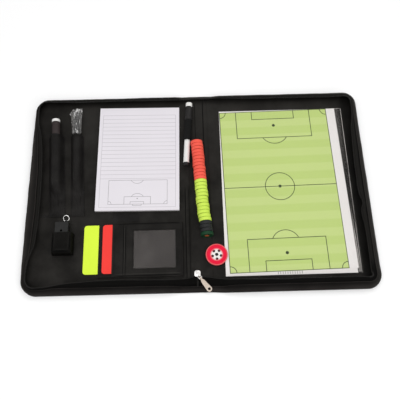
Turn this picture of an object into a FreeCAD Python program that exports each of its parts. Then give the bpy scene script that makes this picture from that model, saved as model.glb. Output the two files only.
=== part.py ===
import FreeCAD, Part
import math
import os

# Zip-round coach's folder, lying open on its back. Millimetres. X runs to the right along both halves,
# Y away from the near edge, Z up from the floor. The spine is on X = 0.
V = FreeCAD.Vector

# Covers and spine
HALF_X = 284.5
HALF_Y = 177.0
CORNER_R = 24.0
SKIN = 0.9
BOARD = 1.3
LINING = 0.8
COVER_T = SKIN + BOARD + LINING
FOLD_X = 17.0
AXIS_Z = 0.6
FOLD_GAP = 0.05
SPINE_LINING = 1.1
SPINE_GROOVE = 3.6
EDGE_INSET = 2.4

# Soft wall round the rim: gusset below, zip tape leaning inward above it
GUSSET_TOP = 10.0
TAPE_TOP = 15.7
TAPE_INSET = 16.2
COIL_W = 2.2
WALL_END_X = 25.5

# Pens
SLEEVE_MOUTH_Y = 100.0
SLEEVE_FOOT_Y = -43.5
SLEEVE_FULL_Y = 20.0
SLEEVE_FLAT_Y = -16.0
SLEEVE_SHOULDER = 0.64
SLEEVE_H = 16.6
SLIM_SLEEVE_H = 15.2
MARKER_R = 6.7
LOOP_R = 6.3
LOOP_WALL = 0.45

# Notepad
PAD_X0 = -172.0
PAD_X1 = -33.2
PAD_Y0 = -39.7
PAD_Y1 = 153.0
PAD_T = 5.0
PAD_TURN = -0.9

# Card pocket
CARD_W = 110.0
CARD_H = 81.0
CARD_T = 0.7
CARD_CORNER = 4.6
LAYER_T = 0.5
POCKET_X1 = -29.5
POCKET_Y0 = -150.5
POCKET_Y1 = -61.0

# Tactics sheet
SHEET_X0 = 37.2
SHEET_Y0 = -153.2
SHEET_W = 207.0
SHEET_H = 297.0
PRINT_CORNER = (38.5, 141.0)
PRINT_W = 205.0
PRINT_H = 290.0
PRINT_TURN = 0.95
FILM_X0 = 42.0
FILM_X1 = 255.0

# Loose pieces
MAGNET_R = 9.9
MAGNET_T = 6.05
COIN_R = 17.6
COIN_T = 3.0
COIN_AT = (23.5, -117.7)

os.makedirs("parts", exist_ok=True)


def save(name, *solids):
    shape = solids[0] if len(solids) == 1 else Part.makeCompound(list(solids))
    shape.exportStep("parts/%s.step" % name)
    print(name, len(shape.Solids), round(shape.Volume, 1), shape.isValid())


def plate(x0, x1, y0, y1, z0, z1):
    return Part.makeBox(x1 - x0, y1 - y0, z1 - z0, V(x0, y0, z0))


def rim_wire(inset, z):
    """Rounded outline of the whole open folder, drawn in by inset at height z."""
    a = HALF_X - inset
    b = HALF_Y - inset
    r = CORNER_R - inset
    k = r * math.sqrt(0.5)
    edges = []
    for sx, sy in ((1, 1), (-1, 1), (-1, -1), (1, -1)):
        cx = sx * (a - r)
        cy = sy * (b - r)
        p = V(sx * a, cy, z)
        q = V(cx, sy * b, z)
        mid = V(cx + sx * k, cy + sy * k, z)
        if sx * sy > 0:
            edges.append((p, mid, q))
        else:
            edges.append((q, mid, p))
    out = []
    for i, (p, mid, q) in enumerate(edges):
        out.append(Part.Arc(p, mid, q).toShape())
        out.append(Part.makeLine(q, edges[(i + 1) % 4][0]))
    return Part.Wire(out)


def rim_solid(levels):
    """Solid inside the rim, stacked from pairs of inset and height."""
    body = None
    for (d0, z0), (d1, z1) in zip(levels, levels[1:]):
        step = Part.makeLoft([rim_wire(d0, z0), rim_wire(d1, z1)], True, True)
        body = step if body is None else body.fuse(step)
    return body.removeSplitter()


def half_block(side, end_x, z0, z1, slope):
    """Everything outside end_x on one half; the cut leans outward by slope for each unit of height."""
    pts = [
        V(side * 400, -300, z0),
        V(side * end_x, -300, z0),
        V(side * (end_x + slope * (z1 - z0)), -300, z1),
        V(side * 400, -300, z1),
    ]
    face = Part.Face(Part.makePolygon(pts + [pts[0]]))
    return face.extrude(V(0, 600, 0))


def cover_plate(side, inset, fold_inset, z0, z1):
    """Flat layer of one cover: rounded at the outer corners and straight at the fold."""
    full = Part.Face(rim_wire(inset, z0)).extrude(V(0, 0, z1 - z0))
    return full.common(half_block(side, FOLD_X + fold_inset, z0 - 1, z1 + 1, 0))


def one(shape):
    return shape.Solids[0] if len(shape.Solids) == 1 else shape


# Covers: outer skin, stiff board and lining, then the soft wall with its zip tape and coil
gusset_out = rim_solid([(0.0, SKIN), (0.8, 5.0), (3.6, GUSSET_TOP)])
gusset_in = rim_solid([(1.5, SKIN), (2.3, 5.0), (5.1, GUSSET_TOP)])
gusset = gusset_out.cut(gusset_in)
tape_out = rim_solid([(3.7, GUSSET_TOP + 0.05), (3.7, GUSSET_TOP + 1.0), (TAPE_INSET, TAPE_TOP)])
tape_in = rim_solid([(5.6, GUSSET_TOP + 0.05), (TAPE_INSET, TAPE_TOP - 0.9), (TAPE_INSET, TAPE_TOP)])
tape = tape_out.cut(tape_in)
coil_out = rim_solid([(TAPE_INSET + 0.05, TAPE_TOP - 1.7), (TAPE_INSET + 0.05, TAPE_TOP)])
coil_in = rim_solid([(TAPE_INSET + COIL_W, TAPE_TOP - 1.7), (TAPE_INSET + COIL_W, TAPE_TOP)])
coil = coil_out.cut(coil_in)

for side, name in ((-1, "left"), (1, "right")):
    save(name + "_cover", one(cover_plate(side, 0.0, FOLD_GAP, 0.0, SKIN)))
    save(name + "_board", one(cover_plate(side, EDGE_INSET, 0.6, SKIN + 0.02, SKIN + BOARD - 0.02)))
    save(name + "_lining", one(cover_plate(side, EDGE_INSET, 0.3, SKIN + BOARD, COVER_T)))
    cut = half_block(side, WALL_END_X, SKIN, TAPE_TOP + 1, 1.0)
    save(name + "_gusset", one(gusset.common(cut)))
    save(name + "_zip_tape", one(tape.common(cut)))
    save(name + "_zip_coil", one(coil.common(cut)))

# Spine: thin skin that bends at both folds, padded strip between, flat ends of the zip tape
save("spine_cover", plate(-FOLD_X + FOLD_GAP, FOLD_X - FOLD_GAP, -HALF_Y, HALF_Y, 0, AXIS_Z))
strip_x = FOLD_X - SPINE_GROOVE
strip_z = AXIS_Z + SPINE_LINING
strip = plate(-strip_x, strip_x, -HALF_Y + 1.5, HALF_Y - 1.5, AXIS_Z, strip_z)
long_top = [e for e in strip.Edges if e.Length > 300 and e.CenterOfMass.z > strip_z - 0.01]
save("spine_lining", strip.makeFillet(0.8, long_top))
for side, name in ((-1, "near"), (1, "far")):
    pts = [(HALF_Y - 1.5, strip_z + 0.02), (153.0, strip_z + 0.02), (153.0, strip_z + 0.7), (158.0, 3.4),
           (HALF_Y - 4.0, 3.4), (HALF_Y - 1.5, 2.6)]
    ring = [V(-13.0, side * y, z) for y, z in pts]
    flap = Part.Face(Part.makePolygon(ring + [ring[0]])).extrude(V(26.0, 0, 0))
    save(name + "_zip_end", flap)


def along(x0, y0, x1, y1):
    """Unit direction between two points on the floor plan."""
    n = math.hypot(x1 - x0, y1 - y0)
    return V((x1 - x0) / n, (y1 - y0) / n, 0)


def sleeve_section(centre, half_w, height):
    """Closed arch standing on the lining: slanted sides up to the shoulder, round crown above."""
    z0 = COVER_T + 0.02
    shoulder = (SLEEVE_SHOULDER * half_w, 0.55 * height)
    rows = [(-half_w, 0.0), (-shoulder[0], shoulder[1]), (0.0, height), shoulder, (half_w, 0.0)]
    pts = [V(centre.x + u, centre.y, z0 + w) for u, w in rows]
    crown = Part.Arc(pts[1], pts[2], pts[3]).toShape()
    sides = [Part.makeLine(pts[0], pts[1]), crown, Part.makeLine(pts[3], pts[4])]
    return Part.Wire(sides + [Part.makeLine(pts[4], pts[0])])


def sleeve(top, foot, half_w, height, bore_r, bore_z, bore_end):
    """Long pen sleeve sewn to the lining: full at the mouth, running out flat at the foot."""
    way = along(foot[0], foot[1], top[0], top[1])
    rows = (
        (top[1], half_w, height),
        (SLEEVE_FULL_Y, half_w - 0.2, height - 0.6),
        (SLEEVE_FLAT_Y, half_w - 0.6, 1.9),
        (foot[1], half_w - 0.6, 1.3),
    )
    body = None
    sections = []
    for y, w, h in rows:
        t = (y - foot[1]) / way.y
        sections.append(sleeve_section(V(foot[0] + way.x * t, y, 0), w, h))
    for one_end, other_end in zip(sections, sections[1:]):
        run = Part.makeLoft([one_end, other_end], True, True)
        body = run if body is None else body.fuse(run)
    t_end = (bore_end - foot[1]) / way.y
    start = V(foot[0] + way.x * t_end, bore_end, bore_z)
    bore = Part.makeCylinder(bore_r, (top[1] + 5 - bore_end) / way.y, start, way)
    return body.cut(bore), way, start


# Pen sleeves with the marker and the wrapped pen they hold
MARKER_Z = COVER_T + 0.9 + MARKER_R + 0.6
mouth_a = (-244.8, SLEEVE_MOUTH_Y)
foot_a = (-235.3, SLEEVE_FOOT_Y)
mouth_b = (-209.4, SLEEVE_MOUTH_Y)
foot_b = (-202.0, SLEEVE_FOOT_Y)
SLIM_BORE = 5.9
sleeve_a, way_a, seat_a = sleeve(mouth_a, foot_a, 13.6, SLEEVE_H, MARKER_R + 0.55, MARKER_Z, 14.0)
sleeve_b, way_b, seat_b = sleeve(mouth_b, foot_b, 11.4, SLIM_SLEEVE_H, SLIM_BORE, MARKER_Z - 0.6, 20.0)
save("pen_sleeves", one(sleeve_a), one(sleeve_b))


def turned(profile, start, way):
    """Solid of revolution; profile is a list of (distance along the axis, radius)."""
    pts = [V(r, 0, t) for t, r in profile]
    pts = [V(0, 0, profile[0][0])] + pts + [V(0, 0, profile[-1][0])]
    face = Part.Face(Part.makePolygon(pts + [pts[0]]))
    solid = face.revolve(V(0, 0, 0), V(0, 0, 1), 360)
    solid.Placement = FreeCAD.Placement(start, FreeCAD.Rotation(V(0, 0, 1), way))
    return solid


CAP_BACK = 82.0
CAP_TOP = 112.4
BARREL_R = MARKER_R - 0.4
barrel = [(0.6, 5.2), (2.0, BARREL_R), (CAP_BACK - 2, BARREL_R), (CAP_BACK - 0.1, 5.4)]
cap_rim = [(CAP_BACK, MARKER_R - 0.3), (CAP_BACK + 1, MARKER_R)]
cap = cap_rim + [(CAP_TOP - 1.2, MARKER_R - 0.2), (CAP_TOP, MARKER_R - 0.8)]
plug = [(CAP_TOP + 0.05, MARKER_R - 0.2), (CAP_TOP + 4.0, MARKER_R - 0.3), (CAP_TOP + 4.6, MARKER_R - 0.9)]
save("sleeve_marker_barrel", turned(barrel, seat_a, way_a))
save("sleeve_marker_cap", turned(cap, seat_a, way_a))
save("sleeve_marker_plug", turned(plug, seat_a, way_a))

# Pen in its clear bag: a flat tube of film with sharp side edges and a crimped top
PEN_TOP = 125.0
BAG_WALL = 0.5
pen = [(0.6, 1.2), (9.0, 4.0), (PEN_TOP - 50, 4.4), (PEN_TOP - 48, 4.9), (PEN_TOP - 4, 4.9), (PEN_TOP - 1, 4)]
save("wrapped_pen", turned(pen, seat_b, way_b))


def bag_section(t, half_w, half_t):
    """Lens-shaped ring across the pen, at a distance along it."""
    base = seat_b + way_b * t
    across = V(way_b.y, -way_b.x, 0) * half_w
    up = V(0, 0, half_t)
    over = Part.Arc(base - across, base + up, base + across).toShape()
    under = Part.Arc(base + across, base - up, base - across).toShape()
    return Part.Wire([over, under])


def bag_tube(rows, wall, first, last):
    """Tube through the lens sections, drawn in by a wall, with its two ends moved along the pen."""
    rings = []
    for i, (t, w, h) in enumerate(rows):
        shift = first if i == 0 else last if i == len(rows) - 1 else 0.0
        rings.append(bag_section(t + shift, w - wall, h - wall))
    return Part.makeLoft(rings, True, True)


bag_rows = ((81.4, 7.4, 6.2), (86.0, 10.6, 6.2), (108.0, 11.6, 6.2), (126.0, 11.8, 5.8), (135.6, 12.0, 2.2))
bag = bag_tube(bag_rows, 0.0, 0.0, 0.0).cut(bag_tube(bag_rows, BAG_WALL, -0.5, -1.0))
save("clear_wrap", one(bag))

# Elastic loop beside the fold, holding the dry-wipe marker
LOOP_Z = COVER_T + 0.8 + LOOP_R
loop_tail = V(-21.9, 37.5, LOOP_Z)
loop_way = along(-21.9, 37.5, -14.0, 157.5)
loop_at = loop_tail + loop_way * 47.0
ring = Part.makeCylinder(LOOP_R + LOOP_WALL, 40.0, loop_at, loop_way)
foot = plate(-4.6, 4.6, 0.5, 39.5, COVER_T + 0.02, COVER_T + 1.6)
foot.rotate(V(0, 0, 0), V(0, 0, 1), math.degrees(math.atan2(-loop_way.x, loop_way.y)))
foot.translate(V(loop_at.x, loop_at.y, 0))
loop = ring.fuse(foot).cut(Part.makeCylinder(LOOP_R, 60.0, loop_at - loop_way * 10, loop_way))
below = plate(-60, 0, -100, 300, -20, COVER_T + 0.02)
save("pen_loop", one(loop.cut(below).removeSplitter()))
save("loop_marker_tail", turned([(0.0, 3.6), (0.8, 4.4), (5.4, 4.6)], loop_tail, loop_way))
save("loop_marker_barrel", turned([(5.45, 4.7), (6.2, 4.9), (87.0, 4.9), (88.4, 4.6)], loop_tail, loop_way))
loop_cap = [(88.45, 5.9), (89.2, 6.1), (112.0, 6.0), (113.2, 5.6)]
save("loop_marker_cap", turned(loop_cap, loop_tail, loop_way))
save("loop_marker_plug", turned([(113.25, 5.0), (119.2, 5.0), (120.2, 4.4)], loop_tail, loop_way))

# Whistle in its pouch, with a split ring
POUCH_X0 = -239.0
POUCH_X1 = -205.0
POUCH_Y0 = -112.0
POUCH_Y1 = -77.0
POUCH_WALL = 1.2
WHISTLE_X = -223.6
WHISTLE_W = 22.0
WHISTLE_Z0 = 5.6
WHISTLE_H = 13.0
WHISTLE_Y1 = -58.5
WHISTLE_L = 48.0
POUCH_H = 18.4
pouch = plate(POUCH_X0, POUCH_X1, POUCH_Y0, POUCH_Y1, COVER_T + 0.02, COVER_T + POUCH_H)
upright = [e for e in pouch.Edges if abs(e.tangentAt(e.FirstParameter).y) > 0.9 and e.CenterOfMass.z > 10]
pouch = pouch.makeFillet(7.0, upright)
near_top = [e for e in pouch.Edges if e.CenterOfMass.y < POUCH_Y0 + 0.01 and e.CenterOfMass.z > 5]
pouch = pouch.makeFillet(4.0, near_top)
floor_z = COVER_T + POUCH_WALL
roof_z = COVER_T + POUCH_H - POUCH_WALL
space = plate(POUCH_X0 + 4.0, POUCH_X1 - 4.0, POUCH_Y0 + 2.0, POUCH_Y1 + 5, floor_z, roof_z)
upright = [e for e in space.Edges if abs(e.tangentAt(e.FirstParameter).y) > 0.9 and e.CenterOfMass.z > 10]
space = space.makeFillet(4.5, upright)
save("whistle_pouch", one(pouch.cut(space)))

x0 = WHISTLE_X - WHISTLE_W / 2
x1 = WHISTLE_X + WHISTLE_W / 2
body = plate(x0, x1, WHISTLE_Y1 - WHISTLE_L, WHISTLE_Y1, WHISTLE_Z0, WHISTLE_Z0 + WHISTLE_H)
body = body.makeFillet(2.2, [e for e in body.Edges if abs(e.tangentAt(e.FirstParameter).y) > 0.9])
far_round = [e for e in body.Edges if e.CenterOfMass.y > WHISTLE_Y1 - 0.01]
body = body.makeFillet(1.6, far_round)
# blow hole: a triangular well in the upper face, and a sound slot in each flank
corners = ((-2.6, -17.0), (2.6, -17.0), (0.0, -12.4), (-2.6, -17.0))
well = Part.makePolygon([V(WHISTLE_X + u, WHISTLE_Y1 + v, 12) for u, v in corners])
body = body.cut(Part.Face(well).extrude(V(0, 0, 12)))
for a, b in ((x0, x0 + 2.0), (x1 - 2.0, x1)):
    slot = plate(a, b, WHISTLE_Y1 - 15.0, WHISTLE_Y1 - 8.0, WHISTLE_Z0 + 4.5, WHISTLE_Z0 + 8.5)
    body = body.cut(slot)
RING_AT = V(-217.6, WHISTLE_Y1 + 2.2, WHISTLE_Z0 + 6.5)
lug_y = (WHISTLE_Y1 - 0.5, WHISTLE_Y1 + 4.6)
lug = plate(RING_AT.x - 1.5, RING_AT.x + 1.5, lug_y[0], lug_y[1], WHISTLE_Z0 + 3.4, WHISTLE_Z0 + 9.6)
tips = [e for e in lug.Edges if e.CenterOfMass.y > lug_y[1] - 0.1]
tips = [e for e in tips if abs(e.tangentAt(e.FirstParameter).x) > 0.9]
lug = lug.makeFillet(2.0, tips)
eye = Part.makeCylinder(1.35, 6.0, RING_AT - V(3, 0, 0), V(1, 0, 0))
save("whistle_body", one(body.fuse(lug).cut(eye).removeSplitter()))
# the ring hangs in the lug's eye and leans back over the whistle
RING_R = 4.6
lean = math.radians(28)
ring_c = RING_AT + V(0, math.cos(lean) * RING_R, math.sin(lean) * RING_R)
ring_n = V(0, -math.sin(lean), math.cos(lean))
save("whistle_ring", Part.makeTorus(RING_R, 0.7, ring_c, ring_n))

# Notepad: card back, block of sheets, loose top page
z = COVER_T + 0.1
pad_mid = V((PAD_X0 + PAD_X1) / 2, (PAD_Y0 + PAD_Y1) / 2, 0)


def pad_layer(far_gap, z0, z1):
    layer = plate(PAD_X0, PAD_X1, PAD_Y0, PAD_Y1 - far_gap, z0, z1)
    layer.rotate(pad_mid, V(0, 0, 1), PAD_TURN)
    return layer


save("pad_backing", pad_layer(0, z, z + 0.8))
save("pad_sheets", pad_layer(0, z + 0.8, z + PAD_T - 0.2))
save("pad_page", pad_layer(0.3, z + PAD_T - 0.1, z + PAD_T + 0.1))
save("pad_tab", plate(-144.0, -101.0, -57.0, -43.2, COVER_T + 0.02, COVER_T + 0.9))

# Stepped card pocket, from the lowest leaf to the leaf with the clear window
Z_YELLOW = COVER_T + 0.15
Z_LOW = Z_YELLOW + CARD_T + 0.15
Z_RED = Z_LOW + LAYER_T + 0.15
Z_MID = Z_RED + CARD_T + 0.15
Z_TOP = Z_MID + LAYER_T + 0.2
CARD_Y1 = -62.6
CARD_Y0 = CARD_Y1 - CARD_H


def pocket_leaf(x0, foot_z, z0, thick):
    """Thin leaf sewn down along three sides; its left edge is open for a card."""
    leaf = plate(x0, POCKET_X1, POCKET_Y0, POCKET_Y1, foot_z, z0 + thick)
    mouth = plate(x0 - 1, POCKET_X1 - 4.0, CARD_Y0 - 0.4, CARD_Y1 + 0.4, foot_z - 1, z0)
    return leaf.cut(mouth)


WINDOW = (-108.6, -41.9, -136.4, -74.5)
PANE = (WINDOW[0] + 0.05, WINDOW[1] - 0.05, WINDOW[2] + 0.05, WINDOW[3] - 0.05)
save("pocket_leaf_low", pocket_leaf(-165.5, COVER_T + 0.02, Z_LOW, LAYER_T))
save("pocket_leaf_mid", pocket_leaf(-143.6, Z_LOW + LAYER_T + 0.02, Z_MID, LAYER_T))
top_leaf = pocket_leaf(-124.5, Z_MID + LAYER_T + 0.02, Z_TOP, 0.7)
top_leaf = top_leaf.cut(plate(WINDOW[0], WINDOW[1], WINDOW[2], WINDOW[3], 0, 20))
save("pocket_leaf_top", top_leaf)
save("window_film", plate(*PANE, Z_TOP + 0.05, Z_TOP + 0.4))


def card(x0, z0):
    c = plate(x0, x0 + CARD_W, CARD_Y0, CARD_Y1, z0, z0 + CARD_T)
    return c.makeFillet(CARD_CORNER, [e for e in c.Edges if abs(e.tangentAt(e.FirstParameter).z) > 0.9])


save("yellow_card", card(-189.5, Z_YELLOW))
save("red_card", card(-159.2, Z_RED))

# Tactics sheet on the right: spare sheets, printed sheet, clear film over it
z = COVER_T + 0.05
save("sheet_stack", plate(SHEET_X0, SHEET_X0 + SHEET_W, SHEET_Y0, SHEET_Y0 + SHEET_H, z, z + 0.7))
printed = plate(0, PRINT_W, -PRINT_H, 0, z + 0.72, z + 0.92)
printed.rotate(V(0, 0, 0), V(0, 0, 1), PRINT_TURN)
printed.translate(V(*PRINT_CORNER, 0))
save("pitch_sheet", printed)
FILM_Z = z + 1.1
save("cover_film", plate(FILM_X0, FILM_X1, SHEET_Y0 - 1.0, SHEET_Y0 + SHEET_H + 0.5, FILM_Z, FILM_Z + 0.3))

# Stack of disc magnets lying askew on the spine
STACK_Z = strip_z + 0.3 + MAGNET_R
stack_start = V(-2.8, 81.3, STACK_Z)
stack_way = along(-2.8, 81.3, 6.4, -64.0)


def magnets(first, count, aside=0.0):
    """Discs of one colour, counted from the far end; aside moves them off the row's line."""
    discs = []
    for i in range(first, first + count):
        t = i * (MAGNET_T + 0.02)
        edge = MAGNET_R - 0.6
        rim = [(t, edge), (t + 0.6, MAGNET_R), (t + MAGNET_T - 0.6, MAGNET_R), (t + MAGNET_T, edge)]
        discs.append(turned(rim, stack_start + V(aside, 0, 0), stack_way))
    return discs


save("orange_magnets", *magnets(0, 12))
save("yellow_magnets", *magnets(12, 12))
save("black_magnets", *magnets(24, 3, 1.2))
save("green_magnet", *magnets(27, 1, 1.8))

# Toss coin: metal rim with a dished red face on both sides
COIN_Z = z + 1.25
centre = V(COIN_AT[0], COIN_AT[1], COIN_Z)
coin_edge = [(0, COIN_R - 0.4), (0.4, COIN_R), (COIN_T - 0.4, COIN_R), (COIN_T, COIN_R - 0.4)]
disc = turned(coin_edge, centre, V(0, 0, 1))
core = Part.makeCylinder(COIN_R - 1.6, 20, centre - V(0, 0, 10))
save("coin_rim", disc.cut(core))
save("coin_face", turned([(0.35, COIN_R - 1.65), (COIN_T - 0.35, COIN_R - 1.65)], centre, V(0, 0, 1)))

# Zip slider at the near end of the spine: two blades on a post, side flanges, swivel stub on top
SLIDER_AT = V(-8.0, -147.5, strip_z + 0.15)
BLADE_T = 1.3
BLADE_GAP = 1.8
STUB_R = 1.1
TAB_L = 22.3
TAB_T = 1.4
TAB_DROP = 5.5
TAB_TURN = 38.0
RUN = 0.3


def slider_blade(z0):
    blade = Part.makeBox(9.0, 10.0, BLADE_T, SLIDER_AT + V(-4.5, -5, z0))
    corners = [e for e in blade.Edges if abs(e.tangentAt(e.FirstParameter).z) > 0.9]
    return blade.makeFillet(2.4, corners)


TOP_Z = 2 * BLADE_T + BLADE_GAP
slider = slider_blade(0).fuse([
    slider_blade(BLADE_T + BLADE_GAP),
    Part.makeBox(1.8, 3.0, TOP_Z, SLIDER_AT + V(-0.9, -4.4, 0)),
])
for s in (-1, 1):
    # side flanges stop short of each other, so the tape can pass between the blades
    for z0, h in ((BLADE_T - 0.1, 0.7), (BLADE_T + BLADE_GAP - 0.6, 0.7)):
        slider = slider.fuse(Part.makeBox(0.9, 6.0, h, SLIDER_AT + V(s * 4.05 - 0.45, -3.0, z0)))
stub_at = SLIDER_AT + V(0, -2.0, TOP_Z - 0.1)
slider = slider.fuse([
    Part.makeCylinder(STUB_R, 2.4, stub_at),
    Part.makeCylinder(STUB_R + 1.0, 0.6, stub_at + V(0, 0, 2.2)),
])
save("zip_slider", one(slider.removeSplitter()))

# Yoke that turns on the stub, drawn along +X and then swung to the pull's direction
YOKE_REACH = 6.6
PIN_R = 0.7
PIN_Z = 1.15
ring = Part.makeCylinder(2.9, 1.3, V(0, 0, 0.4)).cut(Part.makeCylinder(STUB_R + RUN, 6, V(0, 0, -2)))
arms = []
for s in (-1, 1):
    arm = Part.makeBox(YOKE_REACH - 0.2, 0.9, 1.5, V(1.6, s * 2.25 - 0.45, 0.4))
    end = Part.makeCylinder(1.2, 0.9, V(YOKE_REACH, s * 2.25 - 0.45, PIN_Z), V(0, 1, 0))
    arms += [arm, end]
pin = Part.makeCylinder(PIN_R, 4.6, V(YOKE_REACH, -2.3, PIN_Z), V(0, 1, 0))
yoke = ring.fuse(arms + [pin])
yoke = yoke.cut(Part.makeCylinder(STUB_R + RUN, 6, V(0, 0, -2))).removeSplitter()
tab_way = V(math.sin(math.radians(TAB_TURN)), -math.cos(math.radians(TAB_TURN)), 0)
swing = FreeCAD.Rotation(V(0, 0, 1), TAB_TURN - 90.0)
yoke.Placement = FreeCAD.Placement(stub_at, swing)
save("pull_yoke", one(yoke))


def tab_outline():
    """Tab with a narrow eye end, wider shoulders and a round tip, along +X from the eye's axis."""
    neck = 1.5
    shoulder = 2.9
    tip_r = 4.5
    start = 6.0
    tilt = math.asin((tip_r - shoulder) / (TAB_L - start))
    half = [V(0, neck, 0), V(3.6, neck, 0), V(start, shoulder / math.cos(tilt), 0)]
    half.append(V(TAB_L - tip_r * math.sin(tilt), tip_r * math.cos(tilt), 0))
    other = [V(p.x, -p.y, 0) for p in half]
    tip = Part.Arc(half[-1], V(TAB_L + tip_r, 0, 0), other[-1]).toShape()
    sides = [Part.makeLine(p, q) for p, q in zip(half, half[1:])]
    back = [Part.makeLine(q, p) for p, q in zip(other, other[1:])]
    return Part.Wire(sides + [tip] + back[::-1] + [Part.makeLine(other[0], half[0])])


tab = Part.Face(tab_outline()).extrude(V(0, 0, TAB_T))
tab.translate(V(0, 0, -TAB_T / 2))
tab = tab.makeFillet(0.4, [e for e in tab.Edges if e.Length > 8])
tab = tab.fuse(Part.makeCylinder(PIN_R + RUN + 0.75, 3.0, V(0, -1.5, 0), V(0, 1, 0)))
tab = tab.cut(Part.makeCylinder(PIN_R + RUN, 8.0, V(0, -4, 0), V(0, 1, 0)))
tab = tab.cut(Part.makeCylinder(2.3, 8, V(TAB_L, 0, -4)))
tab = tab.cut(Part.makeBox(TAB_L - 12.0, 2.6, 1.0, V(6.6, -1.3, TAB_T / 2 - 0.35)))
tab = tab.removeSplitter()
drop = FreeCAD.Rotation(V(0, 1, 0), TAB_DROP)
pin_at = stub_at + tab_way * YOKE_REACH + V(0, 0, PIN_Z)
tab.Placement = FreeCAD.Placement(pin_at, swing.multiply(drop))
save("pull_tab", one(tab))
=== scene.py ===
import math

import bmesh
import bpy
from mathutils import Matrix, Vector, noise


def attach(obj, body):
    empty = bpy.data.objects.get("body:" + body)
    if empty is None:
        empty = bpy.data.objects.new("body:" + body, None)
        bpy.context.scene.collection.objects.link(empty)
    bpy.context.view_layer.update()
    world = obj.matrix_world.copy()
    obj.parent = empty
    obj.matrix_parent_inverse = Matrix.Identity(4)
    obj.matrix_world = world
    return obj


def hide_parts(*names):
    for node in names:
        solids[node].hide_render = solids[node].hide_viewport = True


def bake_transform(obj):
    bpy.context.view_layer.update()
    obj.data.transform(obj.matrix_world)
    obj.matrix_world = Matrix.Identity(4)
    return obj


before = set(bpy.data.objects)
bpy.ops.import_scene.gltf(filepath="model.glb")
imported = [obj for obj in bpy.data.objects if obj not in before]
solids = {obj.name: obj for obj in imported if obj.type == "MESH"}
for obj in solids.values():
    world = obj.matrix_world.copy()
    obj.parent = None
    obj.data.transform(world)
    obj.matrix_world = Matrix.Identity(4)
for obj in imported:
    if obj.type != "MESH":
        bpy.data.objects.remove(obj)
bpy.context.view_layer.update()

MM = 0.001
HALF_X = 284.5
HALF_Y = 177.0
CORNER = 24.0
RUN_X = HALF_X - CORNER
RUN_Y = 2 * (HALF_Y - CORNER)
ARC = CORNER * math.pi / 2
FLOOR_Z = 3.0
FIFTH = 0.4 * math.pi
THREAD = 0.55
UP = Vector((0, 0, 1))


# ---------------------------------------------------------------- shader helpers

def is_socket(value):
    return isinstance(value, bpy.types.NodeSocket)


def fill(made, feeds):
    """Fills a node's sockets with plain values or with another node's output."""
    for key, value in feeds.items():
        if is_socket(value):
            made.id_data.links.new(value, made.inputs[key])
        else:
            made.inputs[key].default_value = value


def add(tree, kind, feeds, **settings):
    """Outputs of a new shader node."""
    made = tree.nodes.new("ShaderNode" + kind)
    for key, value in settings.items():
        setattr(made, key, value)
    fill(made, feeds)
    return made.outputs


def reckon(kind, *values, **settings):
    """Outputs of a new node fed with values in order, in the tree that they come from."""
    tree = next(value.id_data for value in values if is_socket(value))
    return add(tree, kind, dict(enumerate(values)), **settings)


def maths(how, *values):
    return reckon("Math", *values, operation=how)[0]


def plus(a, b):
    return maths("ADD", a, b)


def minus(a, b):
    return maths("SUBTRACT", a, b)


def times(first, *others):
    for other in others:
        first = maths("MULTIPLY", first, other)
    return first


def per(a, b):
    return maths("DIVIDE", a, b)


def sine(value):
    return maths("SINE", value)


def size_of(value):
    return maths("ABSOLUTE", value)


def strongest(first, *others):
    for other in others:
        first = maths("MAXIMUM", first, other)
    return first


def to_nearest(share):
    """Distance from a share between two whole steps to the nearer one."""
    return maths("MINIMUM", share, minus(1.0, share))


def vectors(how, *values):
    made = reckon("VectorMath", *values, operation=how)
    return made["Value" if how in ("DISTANCE", "DOT_PRODUCT") else "Vector"]


def axes(place):
    return reckon("SeparateXYZ", place)


def shade(colour):
    return colour if is_socket(colour) else (*colour, 1.0)


def mix(share, a, b):
    """Colour a going over to colour b by share."""
    return add(share.id_data, "Mix", {0: share, 6: shade(a), 7: shade(b)}, data_type="RGBA")[2]


def remap(value, low, high, to_low=0.0, to_high=1.0):
    return reckon("MapRange", value, low, high, to_low, to_high, interpolation_type="SMOOTHSTEP")[0]


def cloudy(place, scale, detail=2.0, rough=0.5, warp=0.0, out="Fac"):
    feeds = {"Vector": place, "Scale": scale, "Detail": detail, "Roughness": rough, "Distortion": warp}
    return add(place.id_data, "TexNoise", feeds)[out]


def celled(place, scale, feature="F1"):
    return add(place.id_data, "TexVoronoi", {"Vector": place, "Scale": scale}, feature=feature)["Distance"]


def mapped(place, kind="POINT", **feeds):
    return add(place.id_data, "Mapping", {"Vector": place, **feeds}, vector_type=kind)[0]


def glancing(place, blend):
    return add(place.id_data, "LayerWeight", {"Blend": blend})["Fresnel"]


def run_across(place):
    """Share of the width of a strip, from its run coordinates."""
    return axes(add(place.id_data, "TexCoord", {})["UV"])[1]


def group(name, takes, *gives):
    """Empty node group with named sockets, and its inner inputs; a take without a value is a place."""
    tree = bpy.data.node_groups.new(name, "ShaderNodeTree")
    for label, value in takes.items():
        kind = "NodeSocketVector" if value is None else "NodeSocketFloat"
        socket = tree.interface.new_socket(label, in_out="INPUT", socket_type=kind)
        if value is not None:
            socket.default_value = value
    for label in gives:
        tree.interface.new_socket(label, in_out="OUTPUT", socket_type="NodeSocketFloat")
    return tree, tree.nodes.new("NodeGroupInput").outputs


def give(tree, **results):
    out = tree.nodes.new("NodeGroupOutput")
    for label, value in results.items():
        tree.links.new(value, out.inputs[label])


def use(shared, **feeds):
    """Outputs of a shared effect, in the tree that its first feed comes from."""
    tree = next(iter(feeds.values())).id_data
    return add(tree, "Group", feeds, node_tree=shared)


# ---------------------------------------------------------------- shared surface effects

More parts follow.
